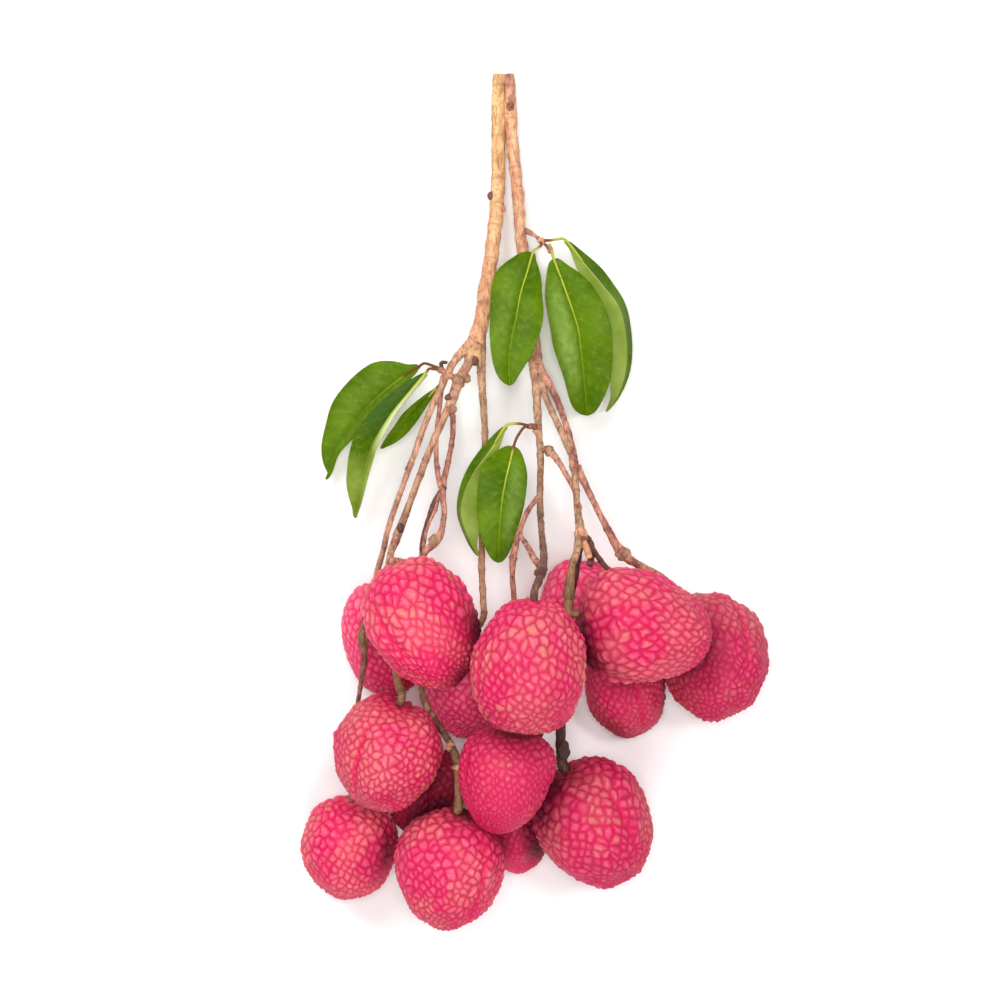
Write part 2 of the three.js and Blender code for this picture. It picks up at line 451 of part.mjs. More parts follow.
function leafSolid(leaf) {
  const spine = new THREE.CatmullRomCurve3(leaf.midrib.map(vector));
  const rows = 2 * VEIN_PAIRS + 1;
  const [faceAtBase, faceAtTip] = leaf.faces.map((face) => vector(face).normalize());

  // A point of the blade: s along the midrib, v across it from -1 (left) to 1 (right).
  function bladePoint(row, v, lift) {
    const start = row / rows;
    const s = Math.min(start + VEIN_SLANT * Math.abs(v) * Math.sin(Math.PI * start), 1);
    const heading = spine.getTangentAt(s);
    const face = faceAtBase.clone().lerp(faceAtTip, s).projectOnPlane(heading).normalize();
    const right = new THREE.Vector3().crossVectors(heading, face);
    const reach = halfWidth(v < 0 ? leaf.left : leaf.right, s) * Math.abs(v);
    const fold = THREE.MathUtils.degToRad(leaf.fold[v < 0 ? 0 : 1]);
    const sign = Math.sign(v);
    const out = right.clone().multiplyScalar(sign * Math.cos(fold)).addScaledVector(face, Math.sin(fold));
    const normal = v === 0 ? face
      : face.clone().multiplyScalar(Math.cos(fold)).addScaledVector(right, -sign * Math.sin(fold));
    const inner = Math.abs(v) > 0 && Math.abs(v) < 1;
    const vein = inner && row % 2 === 1 ? VEIN_HEIGHT : 0;
    return spine.getPointAt(s).addScaledVector(out, reach).addScaledVector(normal, vein + lift);
  }

  const vertices = [];
  const columns = 7;
  for (const side of [1, -1]) {
    for (let row = 0; row <= rows; row += 1) {
      const [left, right] = [leaf.left, leaf.right].map((widths) => {
        return Math.min(RIB_HALF_WIDTH / halfWidth(widths, row / rows), 1 / 3);
      });
      const across = [-1, -(1 + left) / 2, -left, 0, right, (1 + right) / 2, 1];
      for (const v of across) {
        const extra = v === 0 && side < 0 ? RIB_HEIGHT * (1 - RIB_TAPER * row / rows) : 0;
        const point = bladePoint(row, v, side * (BLADE_THICKNESS / 2 + extra));
        vertices.push(point.x, point.y, point.z);
      }
    }
  }
  const under = (rows + 1) * columns;
  const triangles = [];
  const quad = (a, b, c, d) => triangles.push(a, b, c, a, c, d);
  for (let row = 0; row < rows; row += 1) {
    for (let column = 0; column < columns - 1; column += 1) {
      const corner = row * columns + column;
      const beside = corner + 1;
      const ahead = corner + columns;
      quad(corner, beside, ahead + 1, ahead);
      triangles.push(under + corner, under + ahead + 1, under + beside);
      triangles.push(under + corner, under + ahead, under + ahead + 1);
    }
    const left = row * columns;
    const right = left + columns - 1;
    quad(left, left + columns, under + left + columns, under + left);
    quad(right + columns, right, under + right, under + right + columns);
  }
  for (let column = 0; column < columns - 1; column += 1) {
    const last = rows * columns + column;
    quad(column + 1, column, under + column, under + column + 1);
    quad(last, last + 1, under + last + 1, under + last);
  }
  const blade = toSolid(geometryFrom(vertices, triangles));
  const stalk = [...leaf.stalk, leaf.midrib[0]].map((point) => [...point, LEAF_STALK_RADIUS]);
  const end = spine.getPointAt(LEAF_STALK_REACH).toArray();
  stalk.push([...end, LEAF_STALK_RADIUS * LEAF_STALK_END]);
  return blade.add(limb(stalk));
}

// ------------------------------------------------------------------------ bunch
const rindMaterial = new THREE.MeshStandardMaterial({ color: 0xd83a63, roughness: 0.55, metalness: 0 });
const woodMaterial = new THREE.MeshStandardMaterial({ color: 0xb98d5c, roughness: 0.8, metalness: 0 });
const leafMaterial = new THREE.MeshStandardMaterial({ color: 0x4c7d16, roughness: 0.35, metalness: 0 });

const bunch = new THREE.Group();
bunch.add(namedMesh('branch', branchGeometry(), woodMaterial));
FRUITS.forEach((fruit, i) => {
  const number = String(i + 1).padStart(2, '0');
  bunch.add(namedMesh(`fruit_${number}`, fruitGeometry(fruit, i + 1), rindMaterial));
});
for (const leaf of LEAVES) {
  bunch.add(namedMesh(leaf.name, toGeometry(leafSolid(leaf)), leafMaterial));
}

export default bunch;
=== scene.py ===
import math

import bpy
import numpy as np
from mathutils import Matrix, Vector


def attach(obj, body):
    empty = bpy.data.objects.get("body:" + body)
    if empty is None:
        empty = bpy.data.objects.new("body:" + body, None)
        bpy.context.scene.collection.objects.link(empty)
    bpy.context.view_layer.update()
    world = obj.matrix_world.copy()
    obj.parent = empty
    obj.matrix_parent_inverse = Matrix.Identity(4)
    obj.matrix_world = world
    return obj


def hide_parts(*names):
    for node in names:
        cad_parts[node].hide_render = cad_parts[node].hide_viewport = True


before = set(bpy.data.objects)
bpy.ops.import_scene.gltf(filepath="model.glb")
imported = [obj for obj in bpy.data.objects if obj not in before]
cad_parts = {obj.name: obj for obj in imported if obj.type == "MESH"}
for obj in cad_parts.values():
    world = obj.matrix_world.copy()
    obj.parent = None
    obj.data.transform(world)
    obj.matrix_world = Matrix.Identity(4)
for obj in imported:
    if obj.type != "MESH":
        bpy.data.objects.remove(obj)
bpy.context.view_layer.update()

MM = 0.001

# ------ sizes, in millimetres
EGG = 0.10                 # how much fatter a fruit is at its stalk end
SQUASH = 0.94              # its thickness across the seam, as a share
DIMPLE_DEPTH = 1.7         # the hollow that the stalk sits in
DIMPLE_ANGLE = 0.34        # its reach from the stalk, in radians
FLUSH_ANGLE = 0.50         # the reach of the crimson round the stalk, in radians
SEAM_DEPTH = 0.8           # of the furrow along the seam
SEAM_WIDTH = 1.5
OVERHANG = 14.0            # how near another fruit has to be to paint shade on the rind under it
OVERHANG_DROP = 24.0       # the height over which that grows
RIND_SUNK = 0.35           # the fine rind's tops, below the bumps of the solid
RIND_SWELL = 0.40          # slow unevenness of a fruit's form
SWELL_SIZE = 14.0
PEBBLE_HEIGHT = 0.22       # of a tubercle, as a share of its width
PEBBLE_LOWEST = 0.65       # height of the lowest tubercles, as a share of that
PEBBLE_SPREAD = 0.70       # how much more the highest ones have
REGION_SPREAD = 0.30       # how the height changes from region to region
REGION_SIZE = 9.0
REGION_LIMITS = (0.45, 1.5)
PLATEAU_START = 0.50       # how far in from a groove the slope ends, as a share of its width
CELL_SHARE = 0.84          # area of a tubercle, as a share of its width squared
CENTRE_JITTER = 0.42       # how far off an even spacing the tubercles stand
TIP_CROWDING = 0.30        # how much closer the tubercles stand at the tip
DROPPED = 0.12             # share of the tubercles left out, which leaves some larger ones
GOLDEN_ANGLE = math.pi * (3 - math.sqrt(5))
NEIGHBOURS = 5             # tubercles that may share a groove with the one asked about
SWAY = 0.020               # how far the grooves stray, as a share of the fruit's radius
SWAY_SIZE = 6.0
FINE_SWAY = 0.007
FINE_SWAY_SIZE = 1.8
SHOWN_DETAIL = 54          # edges along one side of the icosahedron, for a fruit that shows
HIDDEN_DETAIL = 38         # the same for a fruit that lies mostly behind others
HIDDEN = (2, 6, 7, 14, 15)
EDGE_SCALE = 3.0           # of the material's edge value, per width of a tubercle
GROOVE_SOFT = 0.22         # how round the bottom of a groove is
CORNER_SOFT = 0.10         # how round the corners of a tubercle are
STALK_SINK = 0.3           # how far a stalk runs into the bottom of its dimple

# Fruits: centre, width, length, direction to the stalk and angle of the seam, with egg
# and shoulder for an uncommon form, as in the solids. Then the mean width of a tubercle
# (grain), how crimson the fruit is, how much darker it is (shade), partly a duskier fruit
# and partly painted shade, how much painted light makes it brighter and pinker where the
# bunch shades it (lift), and how much of the painted shade under other fruits it takes (cover).
FRUITS = [
    dict(at=(-32.3, -36.9, 46.8), width=33.5, length=43, stalk=(-0.43, 0.8, -0.42), seam=320,
         grain=2.7, crimson=0.3),
    dict(at=(-45, -42.8, 13.6), width=28.5, length=38.5, stalk=(-0.1, 0.95, 0.26), seam=20,
         grain=2.3, crimson=0.1, lift=0.55),
    dict(at=(-19.8, -57.6, 13), width=29, length=32.5, stalk=(0.05, 0.94, 0.3), seam=75,
         grain=2.2, crimson=0.3, lift=0.8, cover=0.2),
    dict(at=(-1.9, -48, 59.6), width=34.6, length=42, stalk=(0.08, 0.95, 0.14), seam=300, egg=-0.12,
         grain=2.5, crimson=0.2, shade=0.32),
    dict(at=(31.9, -38.2, 43.6), width=33.5, length=43, stalk=(-0.97, 0.2, 0.15), seam=100,
         egg=0.16, shoulder=0.06, grain=2.7, crimson=0.3, shade=0.24),
    dict(at=(14.9, -33, 12.4), width=27.5, length=30, stalk=(0.16, 0.94, 0.3), seam=60,
         grain=2.3, crimson=0.6, lift=0.7, cover=0),
    dict(at=(28.1, -58.9, 12), width=26.6, length=31.5, stalk=(-0.2, 0.93, 0.34), seam=15,
         grain=1.9, crimson=0.7, shade=0.46),
    dict(at=(54.4, -48.1, 17.5), width=34.6, length=41.5, stalk=(-0.15, 0.82, -0.55), seam=36, egg=0.02,
         grain=2.5, crimson=0.15, shade=0.58),
    dict(at=(-43, -75.5, 39), width=34, length=35.5, stalk=(0.24, 0.94, 0.22), seam=150,
         grain=2.2, crimson=0.12, shade=0.26),
    dict(at=(-55.5, -106.2, 13.6), width=30.5, length=34, stalk=(0.04, 0.96, 0.26), seam=240,
         grain=2.4, crimson=0.25, shade=0.03),
    dict(at=(-25, -109.4, 34), width=34, length=38, stalk=(0.14, 0.97, 0.16), seam=39,
         grain=2.4, crimson=0.2, shade=0.22),
    dict(at=(-8.8, -82.4, 43), width=28.5, length=33.5, stalk=(0.16, 0.98, -0.08), seam=120,
         egg=0.18, shoulder=0.08, grain=1.9, crimson=0.95, shade=0.48),
    dict(at=(18.3, -97.5, 25.8), width=36.5, length=41.5, stalk=(-0.46, 0.87, 0.18), seam=30,
         shoulder=0.06, grain=2.7, crimson=0.25, shade=0.42),
    dict(at=(-5.5, -101.5, 10), width=22.5, length=28, stalk=(-0.18, 0.95, 0.24), seam=80,
         grain=1.9, crimson=0.85),
    dict(at=(-32.8, -89.4, 12.4), width=25.5, length=31, stalk=(0.14, 0.93, 0.34), seam=10,
         grain=2.2, crimson=0.8, shade=0.9),
]


def stalk_end(number, radius, straight=3):
    """The last two points of a fruit's stalk, straight into its dimple."""
    fruit = FRUITS[number - 1]
    along = np.array(fruit["stalk"]) / np.linalg.norm(fruit["stalk"])
    foot = fruit["length"] / 2 - DIMPLE_DEPTH - STALK_SINK
    return [(*(np.array(fruit["at"]) + along * reach), radius) for reach in (foot + straight, foot)]


# Limbs as points of x, y, z and radius, with the bark that each one has, or the barks
# of its start and its end.
LIMBS = [
    ("tan rosy", [
        (-10, 129.5, 1.85, 2.1), (-10.5, 121.5, 2.2, 2.1), (-10.5, 112.5, 3, 2.1),
        (-10.5, 101.5, 4, 2.1), (-11, 89, 6, 2.1), (-12.3, 76.5, 8.5, 2.2), (-14.1, 63.5, 11.5, 2.3),
        (-15.5, 53.5, 14, 2.3), (-17.5, 46, 16.5, 2.7)]),
    ("red rosy", [
        (-7.4, 129.5, 2.5, 1.8), (-7.1, 124.5, 2.7, 1.85), (-6.9, 119.5, 3, 1.9),
        (-6.5, 113, 3.5, 1.85)]),
    ("rosy dull", [
        (-6.6, 114.5, 3.4, 1.85), (-6, 106, 4, 1.8), (-4.5, 92, 6, 1.8), (-3.5, 78, 8.5, 1.8),
        (-1, 59.5, 12.5, 1.8), (0.5, 45.5, 16, 1.9), (0.7, 39.5, 17.8, 2.2)]),
    # Left fork, outer stem, to the hidden fruit on the surface.
    ("dull", [
        (-17.5, 47.5, 16.5, 1.8), (-23.5, 41, 19, 1.2), (-26, 36, 21, 1.1), (-31.5, 24, 24, 0.95),
        (-35, 14, 26, 0.95), (-39, 3, 27, 0.85), (-43, -8.5, 26, 0.85), (-45, -16.5, 23, 0.85),
        *stalk_end(2, 0.9)]),
    # Left fork, middle stem, which passes between two fruits.
    ("dull brown", [
        (-17, 45.5, 17, 2), (-19.5, 40, 19.5, 1.4), (-22.5, 34.5, 21, 1.6), (-24.5, 28.5, 22.5, 1.4),
        (-27, 23, 24, 1.1), (-31.5, 12.5, 25.5, 1.05), (-36.5, -1, 26.5, 1.05),
        (-40.5, -11.5, 27, 1.3), (-43, -19, 28, 0.95), (-44.5, -30, 30.5, 1),
        (-43.3, -39.5, 31.2, 0.9), (-41.6, -47, 32.6, 0.9)]),
    ("olive", [
        (-42, -45.5, 32.2, 0.9), (-41, -49, 33, 1), (-40, -54.5, 35.5, 1.3), *stalk_end(9, 1.2)]),
    # Two thin stems that meet, part again and end on the front left fruit.
    ("red", [
        (-24.5, 28, 22.5, 0.9), (-24, 20, 24, 0.8), (-25, 12.5, 25.5, 0.8), (-27, 2.5, 28, 1),
        (-26.5, -5.5, 31, 0.8), (-28, -12, 33.5, 1.1), (-31.8, -16, 34.8, 1), (-34.5, -19.5, 33.5, 1),
        *stalk_end(1, 1.1)]),
    ("red", [
        (-23, 35.5, 21, 0.9), (-26.8, 36, 21.2, 0.9), (-28, 27.5, 23, 0.7), (-29, 17, 24.5, 0.7),
        (-28.7, 8, 26.5, 0.7), (-27.2, 1.5, 28.3, 0.9)]),
    ("dark", [
        (-27.5, 1.8, 28, 0.8), (-29.5, -1.5, 28.8, 0.7), (-31.3, -6.9, 30.2, 0.7),
        (-32.9, -13, 32, 0.7), (-32.8, -18.4, 33.8, 0.9)]),
    ("red", [
        (-28, 1.2, 28.4, 0.6), (-29, -3.5, 29.8, 0.5), (-31.4, -9, 31.4, 0.5), (-32.6, -15, 33, 0.6),
        (-32.4, -18, 34, 0.7)]),
    # Left fork, right stem, deep between the fruits to the bottom ones.
    ("brown", [
        (-15.8, 50.5, 14.6, 1.5), (-15.9, 44, 17.2, 1.7), (-15.5, 35.5, 18.5, 1.2),
        (-15, 27.5, 19.5, 1.1), (-14.5, 17, 20.5, 1), (-15, -1, 22, 1), (-15.5, -19, 24, 1),
        (-15, -31, 26.5, 1), (-15.2, -36.5, 28, 1), (-20, -42.5, 29, 1), (-28.5, -48, 28.3, 1),
        (-33.2, -54.5, 28, 1), (-32.2, -61.5, 28.5, 1), (-29.6, -65.6, 29.6, 0.9)]),
    ("dark olive", [
        (-31, -63.6, 29, 0.9), (-28.8, -67, 30, 1), (-25, -72.5, 32.5, 1.1), (-22.3, -79.5, 35, 1.4),
        *stalk_end(11, 1.3)]),
    ("brown", [(-16.5, -37.5, 28, 0.9), *stalk_end(3, 0.9)]),
    ("brown", [(-32.4, -60, 28.3, 0.9), (-30.5, -66, 24.5, 0.9), *stalk_end(15, 0.9)]),
    # Twig down the outside to the lowest fruit.
    ("dark red", [
        (-43.5, -21, 28.5, 1), (-45.8, -28, 29, 0.9), (-46.8, -33.5, 30, 0.9),
        (-50.2, -38.5, 30.5, 1.1), (-50.8, -43, 30.5, 1.2), (-50.2, -48, 30, 0.9),
        (-50.9, -53, 28.5, 0.8), (-51.8, -58, 26, 0.7), (-52.6, -62.5, 23.5, 0.7),
        (-54.5, -72, 20, 0.7), (-56.5, -81, 19, 0.8), *stalk_end(10, 0.9)]),
    # Right fork, centre stem, and the loops beside it.
    ("dull brown", [(0.3, 41, 17.5, 1.8), (0.8, 33, 20, 1.3), (1.3, 24, 23.6, 1.15)]),
    ("brown dark", [
        (1, 29, 21.5, 1.2), (1.5, 20, 25, 1.1), (2, 11, 30, 1), (1.7, -1, 38, 1), (2, -9.5, 46, 0.95),
        (2.6, -17, 54.5, 1.05), (2, -21.5, 59.5, 1.2), *stalk_end(4, 1.1)]),
    ("red", [
        (1.2, 0, 37.5, 0.8), (-2, -4.5, 39, 0.7), (-4.5, -11, 41, 0.8), (-6, -17, 43, 1),
        (-6.4, -23, 42, 0.8), (-6, -29, 38, 0.8), (-5.5, -37, 32.5, 0.8), (-5, -48, 30, 0.8),
        (-5, -59, 31, 0.8), *stalk_end(12, 0.9)]),
    ("red", [
        (-4.4, -11, 41, 0.8), (-2, -14.5, 47, 0.8), (0.3, -18.5, 54, 1), (2.6, -21, 58.5, 1.1)]),
    ("red", [
        (1.9, 14, 28, 1), (4.8, 13.5, 28.5, 1.1), (8.5, 8.5, 30.5, 0.8), (12.2, 1.5, 33.5, 0.8)]),
    # Right fork, two outer stems that join at the next fork.
    ("brown", [(0.6, 41, 17.5, 1.3), (4, 29, 22, 1), (8, 20, 26, 1), (11, 13, 29, 1.1)]),
    ("red", [(1, 41, 17.5, 1.3), (7, 29, 21.5, 1), (10.5, 18.5, 26, 1), (12.2, 8, 31, 1.5)]),
    ("brown", [
        (12, 9.5, 30.5, 1.2), (12.6, -1, 35, 1), (13.4, -10.5, 39, 1.4), (12.5, -15.5, 42, 1.1),
        (11.4, -19, 43.6, 1)]),
    ("olive", [
        (12, -17, 42.7, 1), (10.8, -21, 44.5, 1.1), (10.2, -26.5, 46, 1.5), (10, -31, 46.5, 1.5),
        *stalk_end(5, 1.1)]),
    ("dark", [(13.8, -10.5, 38, 1.2), (16.8, -14, 30, 1), *stalk_end(6, 1)]),
    ("dark", [
        (13.6, -9, 37.5, 0.8), (16.8, -14.5, 33.5, 0.8), (19.8, -19, 29.5, 0.8),
        (27.6, -29.5, 25.6, 0.8), *stalk_end(7, 0.9)]),
    ("red", [
        (12.6, 9, 31, 1.4), (15.5, 3, 31, 1), (21, -8, 30, 1), (26, -16.5, 28.5, 1.5),
        (31.5, -20.5, 27, 1.2), (38.3, -24.3, 24.5, 1.3), (41.5, -28, 18, 1), (45, -31, 10, 0.9),
        *stalk_end(8, 0.9)]),
    # From the same fork down behind the two front fruits to the bottom right ones.
    ("black", [
        (13.6, -11.5, 38.5, 1.3), (12.5, -21.5, 34, 1), (10.5, -33, 30.5, 1), (9.5, -45.5, 29.5, 1),
        (8.5, -57.5, 29.5, 1.1), (8, -67.5, 30.5, 1.4), *stalk_end(13, 1.6)]),
    ("dark", [
        (8.2, -59.5, 29.6, 0.9), (3.5, -68, 25.5, 0.9), (-1, -77, 19, 0.9), *stalk_end(14, 0.9)]),
    # Brown stalks that carry the leaves.
    ("red", [
        (-3.4, 81.5, 8, 1.1), (-1.2, 80.4, 9.7, 0.85), (0.8, 79.1, 10.8, 0.5), (2.4, 77.7, 11.4, 0.6),
        (3.9, 76.2, 12, 0.45), (5.3, 74.5, 12.4, 0.65)]),
    ("red", [(-22.8, 35.6, 20.4, 0.9), (-25.4, 36.4, 20.6, 0.8), (-27.7, 38.2, 20.8, 0.9)]),
    ("dark", [(-27.6, 38.4, 20.8, 0.6), (-27.5, 40.2, 20.6, 0.5), (-25.8, 40.2, 20.4, 0.4)]),
    ("red", [(1.4, 20.6, 25.5, 1.1), (-0.2, 20.9, 27.5, 0.9), (-1.6, 20.9, 28.6, 0.8)]),
    # A short stub at the fork above the front right fruit.
    ("rosy", [(14, -12, 39.6, 1.1), (15.3, -15.4, 40.6, 1), (16.2, -18, 41.2, 0.9)]),
]

# Buds and leaf scars: place, radius, stretch along x, y and z, and bark.
BUDS = [
    ((-12.9, 91.8, 6.6), 1, (1, 1.3, 1), "dark"), ((-8.9, 88, 6.2), 0.7, (1, 1.4, 1), "rosy"),
    ((-6.9, 119.3, 4.6), 1.1, (1, 1.5, 0.9), "red"), ((-12, 63, 11.8), 1.7, (1.1, 1.3, 1), "tan"),
    ((-18, 42.5, 18), 2.3, (1.1, 1.3, 1), "tan"), ((-22.5, 34.5, 21.2), 1.9, (1, 1.2, 1), "brown"),
    ((-37.4, 8.2, 26.8), 0.75, (1.1, 1.3, 1), "red"), ((0.6, 19.8, 25.8), 0.9, (1, 1.5, 1), "rosy"),
    ((4.6, 13.6, 28.6), 1.5, (1, 1.2, 1), "brown"), ((13.6, -11.2, 39), 1.9, (1, 1.3, 1), "rosy"),
    ((26.5, -17, 28.2), 1.8, (1.3, 1.1, 1), "brown"),
    ((-17.6, 41, 19.3), 1.3, (1, 1.3, 1), "dark"), ((-19.8, 35.4, 20.4), 1.1, (1, 1.2, 1), "brown"),
    ((-24.6, 26.2, 23.6), 1.4, (1.2, 1, 1), "brown"), ((-25, 29.5, 22.8), 1.3, (1.2, 0.9, 1), "dark"),
    ((-39.6, -9.4, 27.6), 1.2, (1, 1.4, 1), "dark"), ((-41, -13.2, 27.5), 1.2, (1.1, 1, 1), "red"),
    ((1.4, -21.8, 59.8), 1.5, (1.1, 1.2, 1), "dark"), ((-6.2, -18, 43), 1.1, (1.1, 1.2, 1), "red"),
    ((10, -28.6, 46.4), 1.75, (1, 1.5, 1), "olive"), ((12.9, -3, 36), 1.2, (1, 1.2, 1), "red"),
    ((8.6, -75, 31), 2, (1, 1.7, 1), "black"), ((-24.6, -73.6, 33), 1.3, (1, 1.3, 1), "rosy"),
    ((2.4, 77.7, 11.4), 1, (1.1, 1, 1), "rosy"), ((5.2, 74.7, 12.4), 0.9, (1, 1.2, 1), "red"),
    ((-27.7, 38, 20.9), 1.1, (1, 1, 0.8), "red"), ((-26.6, 40.2, 20.6), 0.6, (1.5, 0.8, 0.8), "dark"),
    ((-29.6, -13.2, 34.2), 1.35, (1.1, 1.5, 1), "brown"),
    ((-22.2, -79.6, 35.2), 1.9, (1.1, 0.5, 1.1), "rosy"),
    ((-50.6, -41.8, 30.5), 1.6, (1, 2.1, 1), "olive"), ((14, -12.2, 39.8), 1.7, (1.1, 0.4, 1.1), "red"),
    ((-26.9, 2.4, 28), 1, (1, 1.7, 1), "dark"), ((-28.6, 8.6, 26.4), 0.9, (1, 1.4, 1), "red"),
]

# Leaves: a point inside the twig, then the stalk, the midrib and the half widths to its
# left and right, the folds and the facing as in the solids. Then the looks: pale says how
# washed out the left half is at its base and its tip, and the right half, partly a paler
# underside and partly a painted reflection of the bright surroundings, and below 0 how deep
# a green, as painted shade; then how much painted sheen, a lighter glossy band, lies on each
# half, rib how bright the midrib is, and stalk_bark how far along its stalk is brown.
PLAIN = ((0, 0), (0, 0))
LEAVES = [
    # leaf_01
    dict(root=(2.2, 77.4, 11.8),
         stalk=[(2.5, 76.2, 12.6), (1, 75, 13.2)],
         midrib=[(0, 74, 13.5), (-2, 67.2, 16), (-3.8, 61.2, 18.2), (-5.2, 53.6, 20),
                 (-6.7, 46.7, 21.5), (-7.4, 40.5, 22.5), (-7.1, 33.2, 23)],
         left=[2.3, 5.9, 8.2, 7.2, 3.4], right=[5.2, 9.2, 8.7, 6.2, 4],
         fold=(14, 18), faces=[(0, 0.1, 1), (0.1, 0, 1)],
         painted_sheen=(0, 0.25), stalk_bark=0.25),
    # leaf_02
    dict(root=(5.2, 74.8, 12.3),
         stalk=[(5, 76.6, 12.2), (5.8, 74, 12.8)],
         midrib=[(6.2, 72.2, 13), (9.6, 63, 14), (13.3, 52, 14.5), (14.3, 45.9, 14),
                 (15, 39.9, 13), (15.7, 32.9, 12), (16.6, 24.6, 10)],
         left=[3.7, 8.3, 9.9, 8.6, 4.8], right=[3.9, 7.4, 8.8, 6.4, 4.7],
         fold=(12, 16), faces=[(0, 0.1, 1), (0, 0.2, 1)],
         painted_sheen=(0, 0.55), stalk_bark=0.1),
    # leaf_03
    dict(root=(2.8, 77.8, 11.2),
         stalk=[(5, 77.8, 11), (7.6, 78.2, 10.6)],
         midrib=[(10.1, 77.8, 10.2), (15.3, 71.4, 9.8), (21.6, 64, 9.2), (26.6, 57.2, 8.4),
                 (28.7, 47.7, 7.2), (28.6, 38.7, 6), (26.2, 31, 5), (22.7, 25.9, 4)],
         left=[3.2, 6.4, 5.2, 3.4, 1.4], right=[1.6, 4.4, 6.6, 5.2, 1.9],
         fold=(-42, -16), faces=[(0.05, 0.1, 1), (0.5, 0.1, 0.9)],
         pale=((-0.2, -0.1), (0.52, 0.56)), stalk_bark=0.2),
    # leaf_04
    dict(root=(-1.4, 21, 28.4),
         stalk=[(-4, 21.6, 28.9), (-6.2, 21.6, 29.3)],
         midrib=[(-8.4, 20.8, 29), (-13, 13.8, 28.5), (-18, 7, 28), (-21, 0.5, 27.5),
                 (-21.8, -5.5, 27.5), (-19.5, -12.5, 28), (-16.8, -17.6, 28.5)],
         left=[1.4, 3, 5.4, 5.2, 2], right=[2.7, 4.9, 3.7, 2.5, 1.5],
         fold=(-16, -42), faces=[(-0.05, 0.1, 1), (-0.5, 0.1, 0.9)],
         pale=((0.50, 0.56), (0, 0.1)), stalk_bark=0.3),
    # leaf_05
    dict(root=(-1.4, 20.9, 28.4),
         stalk=[(-3, 20.4, 29.5), (-5, 17.5, 30.8)],
         midrib=[(-5.9, 15, 31.5), (-7.1, 10, 33), (-8.5, 4, 34.3), (-9.6, -3, 35),
                 (-10.2, -10.5, 35), (-10.5, -19.5, 34.5)],
         left=[3.6, 6.2, 6.7, 5.1, 3], right=[4.5, 7.9, 7.5, 5.8, 3.3],
         fold=(12, 10), faces=[(0.1, 0.1, 1), (0, 0, 1)],
         painted_sheen=(0.25, 0), stalk_bark=0.75),
    # leaf_06
    dict(root=(-27.6, 38.2, 20.9),
         stalk=[(-31.6, 39.8, 19.6), (-33, 40, 18.9)],
         midrib=[(-34.2, 39.3, 18.2), (-40.1, 35.7, 16), (-46.2, 30.9, 13.8), (-52, 25.2, 11.6),
                 (-56.2, 20.2, 9.6), (-61, 13.7, 7), (-63.4, 5.2, 3.5)],
         left=[2.1, 4.2, 3.7, 2.6, 1.9], right=[3.2, 9.2, 9.6, 5.2, 1.3],
         fold=(8, 14), faces=[(-0.1, 0.2, 1), (-0.4, -0.1, 0.8)],
         painted_sheen=(0.2, 0.15), stalk_bark=1, rib=0.35),
    # leaf_07
    dict(root=(-27.7, 38, 21),
         stalk=[(-31, 38.4, 20.6), (-31.7, 37.8, 20.5)],
         midrib=[(-32.3, 37, 20.4), (-39.5, 28.8, 19.8), (-43, 24.5, 18.8), (-46.4, 19.4, 17.4),
                 (-49, 14.5, 15.6), (-51.6, 5, 12.5), (-54.2, -6.5, 8)],
         left=[0.9, 1.3, 2.6, 2.1, 1.4], right=[2.2, 4.4, 6.2, 5.4, 2],
         fold=(40, 24), faces=[(0.1, 0.3, 1), (-0.1, 0.1, 1)],
         pale=((0.95, 0.45), (-0.6, 0.45)), stalk_bark=0.4),
    # leaf_08
    dict(root=(-26.6, 35.2, 20.2),
         stalk=[(-27.5, 34, 19.3), (-28.5, 33.2, 18.8)],
         midrib=[(-29.3, 32.4, 18.3), (-33, 28.4, 17), (-37, 23.9, 15.5), (-40.9, 19.4, 13.5),
                 (-46.3, 14.6, 11)],
         left=[1, 1.8, 2.5, 2.1, 1], right=[1, 1.9, 2.7, 2, 0.9],
         fold=(20, 20), faces=[(0, 0, 1), (0, 0, 1)],
         stalk_bark=0.5, rib=0.1),
]


# ------ small tools
def unit(vectors):
    vectors = np.asarray(vectors, float)
    return vectors / np.linalg.norm(vectors, axis=-1, keepdims=True)


def smooth(x):
    x = np.clip(x, 0, 1)
    return x * x * (3 - 2 * x)


def bump(x, width):
    return np.exp(-((x / width) ** 2))


def ripple(points, size, seed, count=24):
    """Random waves of about that size at some points, mostly between -1 and 1."""
    rng = np.random.default_rng(seed)
    wave = unit(rng.normal(size=(count, 3))) * (2 * math.pi / size) * rng.uniform(0.6, 1.5, (count, 1))
    phase = rng.uniform(0, 2 * math.pi, count)
    return np.cos(points @ wave.T + phase).sum(axis=1) / math.sqrt(count)


def smooth_path(points, spacing, substeps=24):
    """A Catmull-Rom curve through the points, at even steps; extra columns go along."""
    points = np.asarray(points, float)
    ends = np.vstack([2 * points[0] - points[1], points, 2 * points[-1] - points[-2]])
    steps = np.linspace(0, 1, substeps, endpoint=False)[:, None]
    parts = []
    for a, b, c, d in zip(ends, ends[1:], ends[2:], ends[3:]):
        parts.append(0.5 * (2 * b + (c - a) * steps + (2 * a - 5 * b + 4 * c - d) * steps ** 2
                            + (3 * b - a - 3 * c + d) * steps ** 3))
    dense = np.vstack([*parts, points[-1:]])
    gone = np.r_[0, np.cumsum(np.linalg.norm(np.diff(dense[:, :3], axis=0), axis=1))]
    count = max(int(round(gone[-1] / spacing)), 3)
    at = np.linspace(0, gone[-1], count + 1)
    return np.column_stack([np.interp(at, gone, column) for column in dense.T]), at


